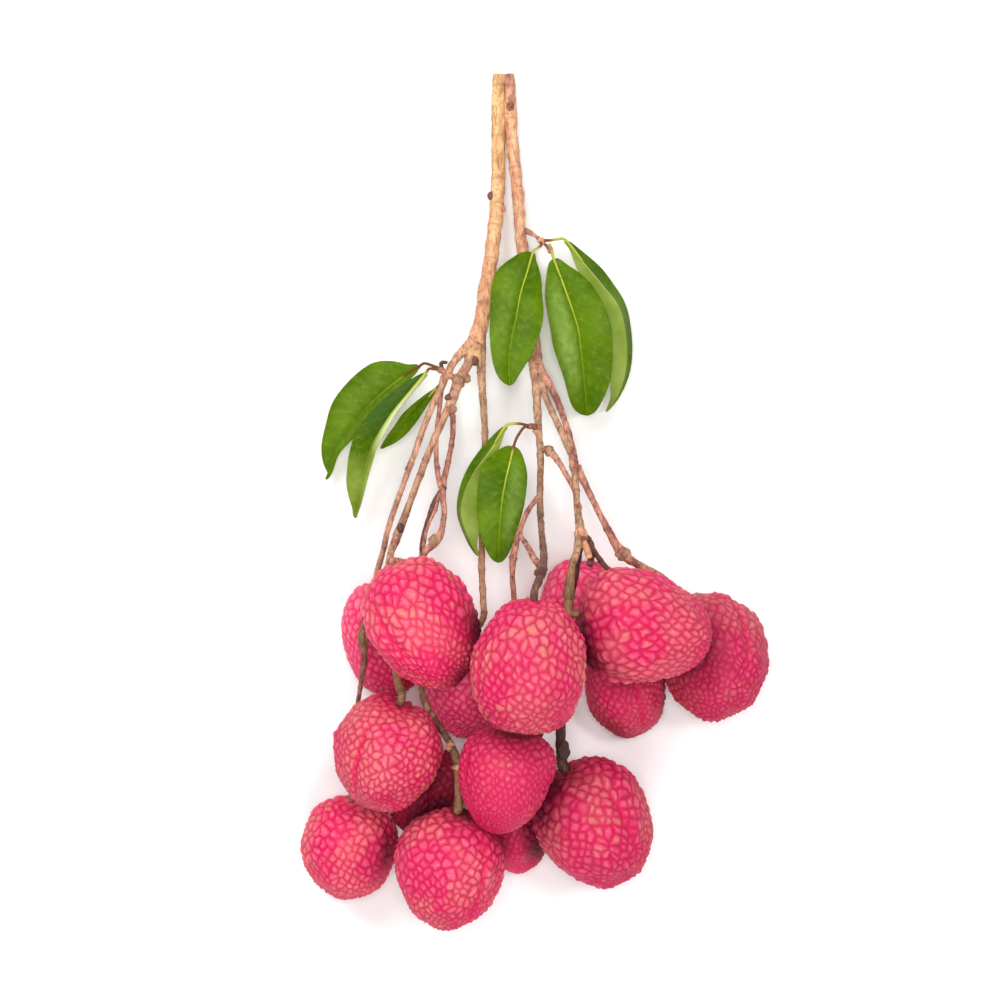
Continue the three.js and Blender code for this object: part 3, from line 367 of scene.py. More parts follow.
def new_mesh(name, points, faces, values, material, node=None):
    """A smooth mesh from millimetres, never below 0, with one number per point for each name."""
    mesh = bpy.data.meshes.new(name)
    points = np.asarray(points, np.float32) * MM
    points[:, 2] = points[:, 2].clip(0)
    faces = np.asarray(faces, np.int32)
    corners = faces.shape[1]
    mesh.vertices.add(len(points))
    mesh.vertices.foreach_set("co", points.ravel())
    mesh.loops.add(faces.size)
    mesh.loops.foreach_set("vertex_index", faces.ravel())
    mesh.polygons.add(len(faces))
    mesh.polygons.foreach_set("loop_start", np.arange(0, faces.size, corners, dtype=np.int32))
    mesh.update(calc_edges=True)
    mesh.polygons.foreach_set("use_smooth", np.ones(len(faces), bool))
    for key, value in values.items():
        layer = mesh.attributes.new(key, "FLOAT", "POINT")
        layer.data.foreach_set("value", np.asarray(value, np.float32))
    mesh.validate()
    piece = bpy.data.objects.new(name, mesh)
    bpy.context.scene.collection.objects.link(piece)
    mesh.materials.append(material)
    if node:
        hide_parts(node)
        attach(piece, "root")
    return piece


# ------ nodes
class Nodes:
    """Short calls that build a material."""

    def __init__(self, name):
        self.material = bpy.data.materials.new(name)
        self.material.use_nodes = True
        self.tree = self.material.node_tree
        self.shader = self.tree.nodes["Principled BSDF"]

    def add(self, kind, **settings):
        node = self.tree.nodes.new(kind)
        for key, value in settings.items():
            setattr(node, key, value)
        return node

    def put(self, socket, value):
        if isinstance(value, bpy.types.NodeSocket):
            self.tree.links.new(value, socket)
        else:
            socket.default_value = value

    def fill(self, node, **values):
        """Sets a node's inputs; _ stands for the space in an input's name."""
        for name, value in values.items():
            self.put(node.inputs[name.replace("_", " ")], value)

    def value(self, name):
        return self.add("ShaderNodeAttribute", attribute_name=name).outputs["Fac"]

    def math(self, operation, *inputs):
        node = self.add("ShaderNodeMath", operation=operation)
        for socket, value in zip(node.inputs, inputs):
            self.put(socket, value)
        return node.outputs[0]

    def times(self, one, other):
        return self.math("MULTIPLY", one, other)

    def ramp(self, value, low, high):
        """0 below low, 1 above high, smooth between; low may be the larger."""
        node = self.add("ShaderNodeMapRange", interpolation_type="SMOOTHSTEP")
        self.fill(node, Value=value, From_Min=low, From_Max=high)
        return node.outputs[0]

    def mix(self, share, one, other, blend="MIX"):
        node = self.add("ShaderNodeMix", data_type="RGBA", blend_type=blend)
        self.put(node.inputs["Factor"], share)
        for name, colour in (("A", one), ("B", other)):
            socket = next(s for s in node.inputs if s.name == name and s.type == "RGBA")
            self.put(socket, colour)
        return next(s for s in node.outputs if s.type == "RGBA")

    def noise(self, size, detail=3, rough=0.55, stretch=(1, 1, 1)):
        """Noise of that size in millimetres, from 0 to 1."""
        place = self.add("ShaderNodeTexCoord").outputs["Object"]
        scaled = self.add("ShaderNodeMapping")
        self.fill(scaled, Vector=place, Scale=tuple(1 / (size * MM * s) for s in stretch))
        node = self.add("ShaderNodeTexNoise")
        self.fill(node, Vector=scaled.outputs[0], Scale=1.0, Detail=detail, Roughness=rough)
        return node.outputs["Fac"]

    def raised(self, height, distance, strength=1.0):
        node = self.add("ShaderNodeBump")
        self.fill(node, Height=height, Distance=distance * MM, Strength=strength)
        self.fill(self.shader, Normal=node.outputs[0])

    def finish(self, colour, roughness, **others):
        self.fill(self.shader, Base_Color=colour, Roughness=roughness, **others)
        return self.material


def rgb(red, green, blue):
    """A screen colour, 0 to 255, as the linear colour that nodes take."""
    def linear(channel):
        share = channel / 255
        return share / 12.92 if share <= 0.04045 else ((share + 0.055) / 1.055) ** 2.4
    return (linear(red), linear(green), linear(blue), 1.0)


# ------ fruits
def geodesic(detail):
    """Points of a unit sphere split from an icosahedron, and its triangles."""
    gold = (1 + math.sqrt(5)) / 2
    corners = [(s, t * gold) for s in (1, -1) for t in (1, -1)]
    base = unit([(x, y, 0) for x, y in corners] + [(0, x, y) for x, y in corners]
                + [(y, 0, x) for x, y in corners])
    near = base @ base.T > 0.4
    sides = [(i, j, k) for i in range(12) for j in range(i + 1, 12) for k in range(j + 1, 12)
             if near[i, j] and near[j, k] and near[i, k]]
    points, faces = [], []
    for i, j, k in sides:
        if np.linalg.det(base[[i, j, k]]) < 0:
            j, k = k, j
        start = len(points)
        index = {}
        for a in range(detail + 1):
            for b in range(detail + 1 - a):
                index[a, b] = start + len(index)
                points.append((base[i] * (detail - a - b) + base[j] * a + base[k] * b) / detail)
        for a in range(detail):
            for b in range(detail - a):
                faces.append((index[a, b], index[a + 1, b], index[a, b + 1]))
                if a + b < detail - 1:
                    faces.append((index[a + 1, b], index[a + 1, b + 1], index[a, b + 1]))
    points = unit(points)
    _, first, same = np.unique(np.round(points, 6), axis=0, return_index=True, return_inverse=True)
    return points[first], same.ravel()[np.array(faces)]


def tubercle_centres(fruit, number):
    """Directions in the fruit's own axes (seam, across, stalk), closer together at the tip."""
    rng = np.random.default_rng(number)
    width, length = fruit["width"], fruit["length"]
    area = math.pi * width * (width + length) / 2 * SQUASH
    count = int(area / fruit["grain"] ** 2 / CELL_SHARE)
    height = 1 - 2 * (np.arange(count) + 0.5) / count
    polar = np.arccos(height)
    polar = polar + TIP_CROWDING * np.sin(polar)
    turn = np.arange(count) * GOLDEN_ANGLE
    places = np.column_stack([np.sin(polar) * np.cos(turn), np.sin(polar) * np.sin(turn), np.cos(polar)])
    places = unit(places + rng.normal(size=places.shape) * CENTRE_JITTER / math.sqrt(count))
    return places[rng.uniform(0, 1, count) > DROPPED]


def tubercles(directions, fruit, number):
    """For each direction: how far the nearest groove is, and two random numbers of its cell."""
    centres = tubercle_centres(fruit, number)
    rng = np.random.default_rng(number + 100)
    tones = rng.uniform(0, 1, (len(centres), 2))
    radius = fruit["width"] / 2
    sway = np.column_stack([SWAY * ripple(directions * radius, SWAY_SIZE, number * 7 + k)
                            + FINE_SWAY * ripple(directions * radius, FINE_SWAY_SIZE, number * 7 + k + 3)
                            for k in range(3)])
    asked = unit(directions + sway)
    close = asked @ centres.T
    nearest = np.argpartition(-close, NEIGHBOURS, axis=1)[:, :NEIGHBOURS + 1]
    near = np.take_along_axis(close, nearest, axis=1)
    order = np.argsort(-near, axis=1)
    nearest = np.take_along_axis(nearest, order, axis=1)
    own = centres[nearest[:, 0]]
    crowding = np.zeros(len(asked))
    for k in range(1, NEIGHBOURS + 1):
        other = centres[nearest[:, k]]
        apart = unit(other - own)
        middle = (other + own) / 2
        distance = ((middle - asked) * apart).sum(axis=1) * radius
        crowding += np.exp(-distance / CORNER_SOFT)
    return np.maximum(-CORNER_SOFT * np.log(crowding), 0), tones[nearest[:, 0]]


def overhung(points, number):
    """How much the other fruits hang over some points, from 0 to 1, which the rind shows as painted
    shade.
    """
    covered = np.zeros(len(points))
    for other, fruit in enumerate(FRUITS, 1):
        if other != number:
            centre = np.array(fruit["at"])
            radius = (fruit["width"] + fruit["length"]) / 4
            gap = np.linalg.norm(points - centre, axis=1) - radius
            above = smooth((centre[2] - points[:, 2]) / OVERHANG_DROP + 0.5)
            covered = np.maximum(covered, smooth(1 - gap / OVERHANG) * above)
    return covered


def build_fruit(number, material, spheres):
    fruit = FRUITS[number - 1]
    width, length, grain = fruit["width"], fruit["length"], fruit["grain"]
    directions, faces = spheres[HIDDEN_DETAIL if number in HIDDEN else SHOWN_DETAIL]
    to_edge, tones = tubercles(directions, fruit, number)
    rounded = np.sqrt(to_edge ** 2 + GROOVE_SOFT ** 2) - GROOVE_SOFT

    seam, across, up = directions.T
    shoulder = 4 * fruit.get("shoulder", 0) * up ** 2 * (1 - up ** 2) * (up > 0)
    girth = width / 2 * (1 + fruit.get("egg", EGG) * up + shoulder)
    from_stalk = np.arccos(np.clip(up, -1, 1))
    dimple = DIMPLE_DEPTH * bump(from_stalk, DIMPLE_ANGLE)
    on_seam = bump(across * girth, SEAM_WIDTH) * (1 - up ** 2)

    edge = np.minimum(rounded / (grain * PLATEAU_START), 1)
    strength = 1 + REGION_SPREAD * ripple(directions * width / 2, REGION_SIZE, number + 70)
    pebble = (1 - (1 - edge) ** 2) * (PEBBLE_LOWEST + PEBBLE_SPREAD * tones[:, 0])
    pebble = pebble * strength.clip(*REGION_LIMITS)
    depth = PEBBLE_HEIGHT * grain * (1 - pebble)
    swell = RIND_SWELL * ripple(directions * width / 2, SWELL_SIZE, number + 50)
    sunk = RIND_SUNK + depth + SEAM_DEPTH * on_seam - swell
    shrink = 1 - 2 * sunk / width

    along = unit(fruit["stalk"])
    start = np.array((0.0, 0.0, 1.0))
    start = unit(start - along * (start @ along))
    turn = math.radians(fruit["seam"])
    seam_axis = start * math.cos(turn) + np.cross(along, start) * math.sin(turn)
    across_axis = np.cross(along, seam_axis)
    points = (np.array(fruit["at"])
              + np.outer(up * length / 2 * shrink - dimple, along)
              + np.outer(seam * girth * shrink, seam_axis)
              + np.outer(across * girth * shrink * SQUASH, across_axis))
    points[:, 2] = points[:, 2].clip(0)
    values = {
        "edge": to_edge / grain * EDGE_SCALE,
        "tone": tones[:, 0],
        "second": tones[:, 1],
        "seam": on_seam,
        "stalk_end": bump(from_stalk, FLUSH_ANGLE),
        **{key: np.full(len(points), fruit.get(key, 0)) for key in ("crimson", "shade", "lift")},
        "overhung": overhung(points, number) * fruit.get("cover", 1),
    }
    node = f"fruit_{number:02d}"
    new_mesh(f"rind_{number:02d}", points, faces, values, material, node)


def rind_material():
    n = Nodes("rind")
    edge, tone, second = n.value("edge"), n.value("tone"), n.value("second")
    crimson = n.value("crimson")
    patches = n.math("ADD", n.ramp(n.noise(15, 2), 0.42, 0.60), n.times(crimson, 0.55))
    patches = n.math("MINIMUM", patches, 1.0)
    # Painted light: lift makes the rind of fruits that lie in the bunch's shade brighter and pinker.
    lift = n.value("lift")
    colour = n.mix(patches, rgb(212, 86, 98), rgb(214, 36, 88))
    colour = n.mix(lift, colour, rgb(255, 76, 130))
    # Paler salmon tubercle tops that fade into the grooves: partly the rind's own colour, partly a
    # painted highlight on each dome.
    top = n.mix(patches, rgb(236, 128, 132), rgb(236, 84, 126))
    top = n.mix(lift, top, rgb(255, 144, 176))
    own_height = n.math("ADD", 0.35, n.times(tone, 0.65))
    height = n.times(n.ramp(edge, 0.18, 1.35), own_height)
    colour = n.mix(height, colour, top)
    old = n.times(n.ramp(second, 0.72, 0.95), n.ramp(edge, 0.2, 0.9))
    old = n.times(old, n.ramp(n.noise(18, 2), 0.36, 0.56))
    old = n.times(old, n.ramp(n.noise(1.6, 3), 0.30, 0.62))
    colour = n.mix(n.times(old, 0.62), colour, rgb(190, 132, 84))
    soft = n.ramp(n.math("ADD", edge, n.times(n.noise(1.1, 3), 0.5)), 0.85, 0.25)
    groove = n.mix(patches, rgb(182, 22, 70), rgb(182, 6, 66))
    # Painted light in the grooves too, by lift.
    groove = n.mix(lift, groove, rgb(236, 24, 96))
    colour = n.mix(n.times(soft, 0.66), colour, groove)
    line = n.times(n.ramp(edge, 0.26, 0.04), n.ramp(n.noise(4.0, 3), 0.30, 0.66))
    colour = n.mix(n.times(line, 0.34), colour, rgb(140, 4, 54))
    flush = n.times(n.value("stalk_end"), 0.55)
    flush = n.math("MAXIMUM", flush, n.times(n.ramp(n.value("seam"), 0.30, 0.85), 0.8))
    colour = n.mix(flush, colour, rgb(212, 14, 80))
    colour = n.mix(n.times(crimson, 0.35), colour, rgb(226, 32, 92))
    speckle = n.times(n.ramp(n.noise(0.9, 3), 0.45, 0.75), n.ramp(edge, 0.45, 1.0))
    colour = n.mix(n.times(speckle, 0.30), colour, rgb(244, 156, 142))
    dusk = n.ramp(n.noise(1.3, 3), 0.52, 0.75)
    colour = n.mix(n.times(dusk, 0.34), colour, rgb(170, 28, 70))
    # Darker rind by the fruit's shade: partly a duskier fruit, partly painted shade.
    colour = n.mix(n.times(n.value("shade"), 0.6), colour, rgb(120, 30, 52))
    # Painted shadow under the fruits that hang over the rind, near black where they come closest.
    colour = n.mix(n.times(n.value("overhung"), 0.85), colour, rgb(122, 6, 44))
    deep_painted_shadow = n.ramp(n.value("overhung"), 0.55, 1.0)
    colour = n.mix(n.times(deep_painted_shadow, 0.8), colour, rgb(56, 4, 24))
    n.raised(n.noise(0.7, 4), 0.10, 0.6)
    return n.finish(colour, 0.52, Specular_IOR_Level=0.18)


# ------ wood
BARKS = {
    # light, dark and specks
    "tan": ((232, 192, 134), (198, 146, 96), (120, 78, 52)),
    "rosy": ((238, 184, 140), (200, 138, 104), (120, 70, 56)),
    "dull": ((206, 158, 126), (156, 108, 86), (92, 58, 50)),
    "brown": ((192, 150, 116), (136, 98, 74), (78, 52, 44)),
    "red": ((206, 146, 122), (134, 78, 66), (60, 30, 30)),
    "olive": ((164, 124, 86), (110, 78, 54), (62, 42, 34)),
    "dark": ((126, 86, 70), (80, 48, 44), (44, 26, 28)),
    "black": ((92, 62, 52), (58, 36, 34), (30, 20, 22)),
}
RING_GAP = 8.0             # mean distance between the rings of old bud scales
RING_WIDTH = 0.45
RING_SWELL = 0.12          # how far a ring stands out
TWIG_STEP = 0.40           # distance between the sections of a twig
THICK_TWIG = 1.9           # the radius above which a twig gets more sides
THICK_SIDES = 24
THIN_SIDES = 14
BARK_ROUGHNESS = 0.07      # of a twig's radius
BUD_DETAIL = 6
BUD_ROUGHNESS = 0.10
BUD_SCAR = 0.4             # how dark the marks on a bud are


def rings_along(at, seed):
    """Where along a twig the rings of old bud scales stand, as a height from 0 to 1."""
    rng = np.random.default_rng(seed)
    count = max(int(at[-1] / RING_GAP), 1)
    places = (np.arange(count) + rng.uniform(0.2, 0.8, count)) * at[-1] / count
    height = rng.uniform(0.4, 1, count)
    return (bump(at[:, None] - places[None, :], RING_WIDTH) * height).sum(axis=1).clip(0, 1)


def tube(points, sides, seed, roughness=BARK_ROUGHNESS):
    """Rings round a path, with flat ends, and their faces; radius is the fourth column."""
    centres, radius = points[:, :3], points[:, 3]
    heading = unit(np.gradient(centres, axis=0))
    side = np.array((0.31, 0.53, 0.79))
    turns = np.linspace(0, 2 * math.pi, sides, endpoint=False)
    rings = []
    for centre, ahead, r in zip(centres, heading, radius):
        side = unit(side - ahead * (side @ ahead))
        other = np.cross(ahead, side)
        rings.append(centre + r * (np.outer(np.cos(turns), side) + np.outer(np.sin(turns), other)))
    rings = np.array(rings)
    flat = rings.reshape(-1, 3)
    rough = ripple(flat * (1, 0.5, 1), 2.4, seed) + 0.5 * ripple(flat, 1.1, seed + 1)
    out = unit(rings - centres[:, None, :])
    rings = rings + out * (rough.reshape(len(rings), sides, 1) * roughness * radius[:, None, None])
    count = len(rings)
    ring, step = np.meshgrid(np.arange(count - 1), np.arange(sides), indexing="ij")
    a = (ring * sides + step).ravel()
    b = (ring * sides + (step + 1) % sides).ravel()
    faces = np.vstack([np.column_stack([a, b, b + sides]), np.column_stack([a, b + sides, a + sides])])
    vertices = np.vstack([rings.reshape(-1, 3), centres[:1], centres[-1:]])
    k = np.arange(sides)
    last = (count - 1) * sides
    start_cap = np.column_stack([np.full(sides, count * sides), (k + 1) % sides, k])
    end_cap = np.column_stack([np.full(sides, count * sides + 1), last + k, last + (k + 1) % sides])
    return vertices, np.vstack([faces, start_cap, end_cap])


def is_bark(bark):
    return np.array([float(name == bark) for name in BARKS])


def build_branch(material):
    pieces = []
    for i, (barks, path) in enumerate(LIMBS):
        thickest = max(radius for _, _, _, radius in path)
        sides = THICK_SIDES if thickest > THICK_TWIG else THIN_SIDES
        smooth_points, at = smooth_path(path, TWIG_STEP)
        ring = rings_along(at, 60 + i)
        smooth_points[:, 3] += RING_SWELL * ring
        reached = np.r_[np.repeat(smooth(at / at[-1]), sides), 0, 1]
        first, last = (barks.split() * 2)[:2]
        kinds = np.outer(1 - reached, is_bark(first)) + np.outer(reached, is_bark(last))
        scars = np.r_[np.repeat(ring, sides), 0, 0]
        pieces.append((*tube(smooth_points, sides, 40 + i), scars, kinds))
    ball, ball_faces = geodesic(BUD_DETAIL)
    for i, (at, radius, stretch, bark) in enumerate(BUDS):
        vertices = ball * radius * np.array(stretch)
        vertices = vertices * (1 + BUD_ROUGHNESS * ripple(ball, 0.8, i + 90)[:, None]) + np.array(at)
        kinds = np.tile(is_bark(bark), (len(ball), 1))
        pieces.append((vertices, ball_faces, np.full(len(ball), BUD_SCAR), kinds))
    points, faces, scars, kinds = zip(*pieces)
    starts = np.cumsum([0, *(len(part) for part in points[:-1])])
    faces = np.vstack([part + start for part, start in zip(faces, starts)])
    values = {f"is_{name}": share for name, share in zip(BARKS, np.vstack(kinds).T)}
    values["scar"] = np.concatenate(scars)
    new_mesh("wood", np.vstack(points), faces, values, material, "branch")


def bark_material():
    n = Nodes("bark")
    blotch = n.ramp(n.noise(2.6, 5, 0.65, stretch=(1, 2.4, 1)), 0.36, 0.64)
    streak = n.ramp(n.noise(0.9, 4, stretch=(0.7, 4, 0.7)), 0.48, 0.68)
    speck = n.ramp(n.noise(0.8, 3), 0.60, 0.68)
    dots = n.ramp(n.noise(1.5, 1), 0.66, 0.72)
    mark = n.math("MAXIMUM", n.times(speck, 0.75), n.times(n.value("scar"), 0.55))
    mark = n.math("MAXIMUM", mark, n.times(streak, 0.6))
    colour = rgb(0, 0, 0)
    for name, shades in BARKS.items():
        light, dark, spot = (rgb(*shade) for shade in shades)
        own = n.mix(blotch, light, dark)
        own = n.mix(mark, own, spot)
        own = n.mix(n.times(dots, 0.6), own, light)
        colour = n.mix(n.value(f"is_{name}"), colour, own, "ADD")
    n.raised(n.noise(0.8, 5, 0.65, stretch=(1, 2.5, 1)), 0.25, 0.9)
    return n.finish(colour, 0.75, Specular_IOR_Level=0.3)


# ------ leaves
BLADE_THICKNESS = 0.40
THIN_EDGE = 0.4            # thickness at the rim, as a share of that
BLADE_ROWS = 84
BLADE_COLUMNS = 14         # on each side of the midrib
RIM_COLUMN = 0.97          # the column beside the rim, as a share of the half width
NARROWEST_BLADE = 0.12     # half width at both ends
STATIONS = [0, 0.08, 0.25, 0.5, 0.75, 0.92, 1]
FOLD_AT_RIB = 1.75         # of a leaf's fold, beside its midrib
FOLD_EASING = 1.5          # how much of the fold is gone at the rim
RIM_DROOP = 0.30           # radians
WAVE_HEIGHT = 0.5
WAVE_TURNS = 11            # radians of wave from end to end
PUFF_HEIGHT = 0.015        # of the blade between two side veins
VEIN_COUNT = 12
VEIN_SLANT = 0.15          # how far a side vein runs towards the tip, as a share of the length
RIB_WIDTH = 0.45
RIB_GROOVE = 0.16          # its depth above
RIB_RIDGE = 0.55           # its height below, at the base
RIB_TAPER = 0.7            # how much of that is gone at the tip
STALK_SIDES = 12
STALK_RADIUS = 0.42
STALK_FOOT = 0.50          # radius inside the twig
STALK_END = 0.28           # radius where the stalk ends, inside the blade
STALK_IN_BLADE = 0.14      # how far along the blade that is
STALK_ROUGHNESS = 0.03


def half_width(widths, s):
    """A curve through the squared half widths at the stations, which rounds both ends."""
    squares = np.array([0, *np.square(widths), 0])
    stations = np.array(STATIONS)
    last = len(stations) - 1
    before = np.maximum(np.arange(last + 1) - 1, 0)
    after = np.minimum(np.arange(last + 1) + 1, last)
    slopes = (squares[after] - squares[before]) / (stations[after] - stations[before])
    i = np.clip(np.searchsorted(stations, s, side="right") - 1, 0, last - 1)
    step = stations[i + 1] - stations[i]
    t = (s - stations[i]) / step
    square = (squares[i] * (1 - t) ** 2 * (1 + 2 * t) + squares[i + 1] * t * t * (3 - 2 * t)
              + step * (slopes[i] * t * (1 - t) ** 2 - slopes[i + 1] * t * t * (1 - t)))
    return np.sqrt(np.maximum(square, NARROWEST_BLADE ** 2))


def leaf_spine(leaf):
    """Even places along the midrib, with its heading and the way the blade faces."""
    spine, at = smooth_path(leaf["midrib"], 0.2)
    s = np.linspace(0, 1, BLADE_ROWS + 1)
    spine = np.column_stack([np.interp(s * at[-1], at, column) for column in spine.T])
    heading = unit(np.gradient(spine, axis=0))
    base_face, tip_face = (unit(face) for face in leaf["faces"])
    face = base_face * (1 - s[:, None]) + tip_face * s[:, None]
    face = unit(face - heading * (face * heading).sum(axis=1, keepdims=True))
    return s, spine, heading, face


def blade_half(leaf, number, side):
    """Half a blade, from the midrib out: its upper side, and how far out in millimetres and
    as a share."""
    s, spine, heading, face = leaf_spine(leaf)
    right = np.cross(heading, face) * (1 if side else -1)
    half = half_width(leaf["right" if side else "left"], s)
    share = np.sin(math.pi * s).clip(0) ** 0.6
    fold = math.radians(leaf["fold"][side])
    across = np.r_[np.linspace(0, RIM_COLUMN, BLADE_COLUMNS), 1]
    angle = fold * (FOLD_AT_RIB - FOLD_EASING * across) - RIM_DROOP * across ** 3
    step = np.diff(across)
    middle = (angle[1:] + angle[:-1]) / 2
    reach = half[:, None] * across
    out = np.r_[0, np.cumsum(np.cos(middle) * step)]
    rise = np.r_[0, np.cumsum(np.sin(middle) * step)]
    vein_at = s[:, None] - VEIN_SLANT * across[None, :]
    vein = np.cos(2 * math.pi * vein_at * VEIN_COUNT)
    fade = smooth((1 - across) * 5) * smooth(across * 6)
    turn = s * WAVE_TURNS + number * 2 + side
    wave = WAVE_HEIGHT * across ** 2 * np.sin(turn)[:, None] * share[:, None]
    puff = PUFF_HEIGHT * vein * fade * share[:, None]
    lift = wave + puff - RIB_GROOVE * bump(reach, RIB_WIDTH)
    points = (spine[:, None, :] + right[:, None, :] * (half[:, None] * out)[:, :, None]
              + face[:, None, :] * (half[:, None] * rise + lift)[:, :, None])
    return points, reach, np.broadcast_to(across, reach.shape)


def blade_shell(leaf, number, s):
    """A blade with its rim: points above, points below, reach, share across and triangles."""
    halves = [blade_half(leaf, number, side) for side in (0, 1)]
    top, reach, over = (np.concatenate([left[:, :0:-1], right], axis=1)
                        for left, right in zip(*halves))
    du, dv = np.gradient(top, axis=0), np.gradient(top, axis=1)
    normal = unit(np.cross(dv, du))
    rib = RIB_RIDGE * (1 - RIB_TAPER * s)
    flat = BLADE_THICKNESS * (THIN_EDGE + (1 - THIN_EDGE) * np.sqrt(1 - over ** 2))
    thick = flat + rib[:, None] * bump(reach, RIB_WIDTH)
    under = top - normal * thick[:, :, None]
    rows, wide = top.shape[:2]
    index = np.arange(rows * wide).reshape(rows, wide)
    a, b, c, d = index[:-1, :-1], index[:-1, 1:], index[1:, 1:], index[1:, :-1]
    upper = np.stack([a, b, c, d], -1).reshape(-1, 4)
    lower = np.stack([a, d, c, b], -1).reshape(-1, 4) + rows * wide
    rim = np.concatenate([index[0, :], index[1:, -1], index[-1, -2::-1], index[-2:0:-1, 0]])
    after = np.roll(rim, -1)
    sides = np.column_stack([rim, rim + rows * wide, after + rows * wide, after])
    quads = np.vstack([upper, lower, sides])
    triangles = np.vstack([quads[:, [0, 1, 2]], quads[:, [0, 2, 3]]])
    return top, under, reach, over, triangles


def leaf_stalk(leaf, number, spine):
    """A leaf's own stalk into its blade: points, triangles and how far along each point is."""
    inside = tuple(spine[int(STALK_IN_BLADE * BLADE_ROWS), :3])
    path = [leaf["root"], *leaf["stalk"], leaf["midrib"][0], inside]
    radii = (STALK_FOOT, *[STALK_RADIUS] * len(leaf["stalk"]), STALK_RADIUS, STALK_END)
    points, at = smooth_path([(*p, r) for p, r in zip(path, radii)], TWIG_STEP)
    points, faces = tube(points, STALK_SIDES, number, STALK_ROUGHNESS)
    return points, faces, np.r_[np.repeat(at / at[-1], STALK_SIDES), 0, 1]


def build_leaf(number, material):
    leaf = LEAVES[number - 1]
    s, spine, _, _ = leaf_spine(leaf)
    top, under, reach, over, triangles = blade_shell(leaf, number, s)
    stalk, stalk_faces, stalk_share = leaf_stalk(leaf, number, spine)
    rows, wide = top.shape[:2]
    is_left = np.arange(wide) < BLADE_COLUMNS
    # pale: washed-out halves, partly a paler underside and partly a painted reflection; below 0 a deeper
    # green as painted shade.
    to_tip = smooth((s - 0.35) / 0.4)
    left, right = (base + (tip - base) * to_tip for base, tip in leaf.get("pale", PLAIN))
    pale = np.where(is_left, left[:, None], right[:, None])
    # Painted sheen: a lighter band along the middle of each half, fading at both ends of the blade.
    band = smooth(over / 0.4) * smooth((1 - over) / 0.45)
    reached = (smooth((s - 0.03) / 0.25) * smooth((0.95 - s) / 0.35))[:, None]
    painted_sheen = np.where(is_left, *leaf.get("painted_sheen", (0, 0))) * band * reached
    brown = smooth((leaf["stalk_bark"] - stalk_share) * 6 + 0.5)
    rib = leaf.get("rib", 1)
    values = {}
    for key, *parts in (("along", s[:, None], s[:, None], 0), ("over", over, over, 0),
                        ("from_rib", reach, reach, 0), ("under", 0, 1, 0), ("pale", pale, pale, 0),
                        ("painted_sheen", painted_sheen, 0, 0), ("bright_rib", rib, rib, rib),
                        ("is_stalk", 0, 0, 1), ("is_brown", 0, 0, brown)):
        shapes = ((rows, wide), (rows, wide), len(stalk))
        values[key] = np.concatenate([np.broadcast_to(part, shape).ravel()
                                      for part, shape in zip(parts, shapes)])
    points = np.vstack([top.reshape(-1, 3), under.reshape(-1, 3), stalk])
    faces = np.vstack([triangles, stalk_faces + 2 * rows * wide])
    new_mesh(f"blade_{number:02d}", points, faces, values, material, f"leaf_{number:02d}")


def leaf_material():
    n = Nodes("leaf")
    along, over, from_rib = n.value("along"), n.value("over"), n.value("from_rib")
    vein_place = n.math("SUBTRACT", along, n.times(over, VEIN_SLANT))
    bent = n.math("ADD", vein_place, n.times(n.noise(6, 2), 0.05))
    phase = n.times(bent, VEIN_COUNT)
    off_vein = n.math("ABSOLUTE", n.math("SUBTRACT", n.math("FRACT", phase), 0.5))
    vein = n.ramp(off_vein, 0.46, 0.5)
    mottled = n.ramp(n.noise(13, 3), 0.30, 0.72)
    green = n.mix(mottled, rgb(62, 92, 0), rgb(86, 116, 2))
    green = n.mix(n.times(n.ramp(n.noise(1.6, 4), 0.45, 0.75), 0.30), green, rgb(116, 148, 22))
    # Washed-out halves by pale: partly a paler underside, partly a painted reflection of the bright
    # surroundings; a pale below 0 gives a deeper green, painted shade.
    washed = n.mix(mottled, rgb(132, 152, 52), rgb(168, 184, 94))
    washed = n.mix(n.ramp(n.value("pale"), 0.6, 1.0), washed, rgb(198, 206, 146))
    green = n.mix(n.ramp(n.value("pale"), 0.0, -1.0), green, rgb(42, 72, 26))
    green = n.mix(n.math("MAXIMUM", n.value("pale"), 0.0), green, washed)
    # Painted sheen: a lighter glossy band, broken by streaks.
    streaks = n.math("ADD", 0.55, n.times(n.ramp(n.noise(2.2, 4), 0.35, 0.65), 0.45))
    green = n.mix(n.times(n.value("painted_sheen"), streaks), green, rgb(146, 172, 84))
    green = n.mix(n.times(vein, 0.16), green, rgb(150, 178, 74))
    rib = n.ramp(from_rib, n.math("SUBTRACT", 0.34, n.times(along, 0.16)), 0.08)
    bright = n.math("ADD", 0.08, n.times(n.ramp(along, 0.75, 0.02), 0.75))
    bright = n.times(bright, n.value("bright_rib"))
    top = n.mix(n.times(rib, bright), green, rgb(200, 204, 70))
    pale = n.mix(mottled, rgb(132, 160, 74), rgb(156, 178, 104))
    pale = n.mix(n.times(n.math("MAXIMUM", vein, rib), 0.6), pale, rgb(196, 206, 130))
    colour = n.mix(n.value("under"), top, pale)
    stalk = n.mix(n.value("is_brown"), rgb(170, 168, 66), rgb(112, 66, 46))
    colour = n.mix(n.value("is_stalk"), colour, stalk)
    roughness = n.math("ADD", 0.40, n.times(n.value("under"), 0.2))
    height = n.math("ADD", n.times(n.noise(0.9, 4), 0.35), n.times(vein, -0.12))
    n.raised(height, 0.10, 0.4)
    return n.finish(colour, roughness, Specular_IOR_Level=0.07)


# ------ stage
FLOOR_HALF = 1500.0
FLOOR_DROP = 0.02          # below the surface that the bunch lies on
WORLD_STRENGTH = 0.40
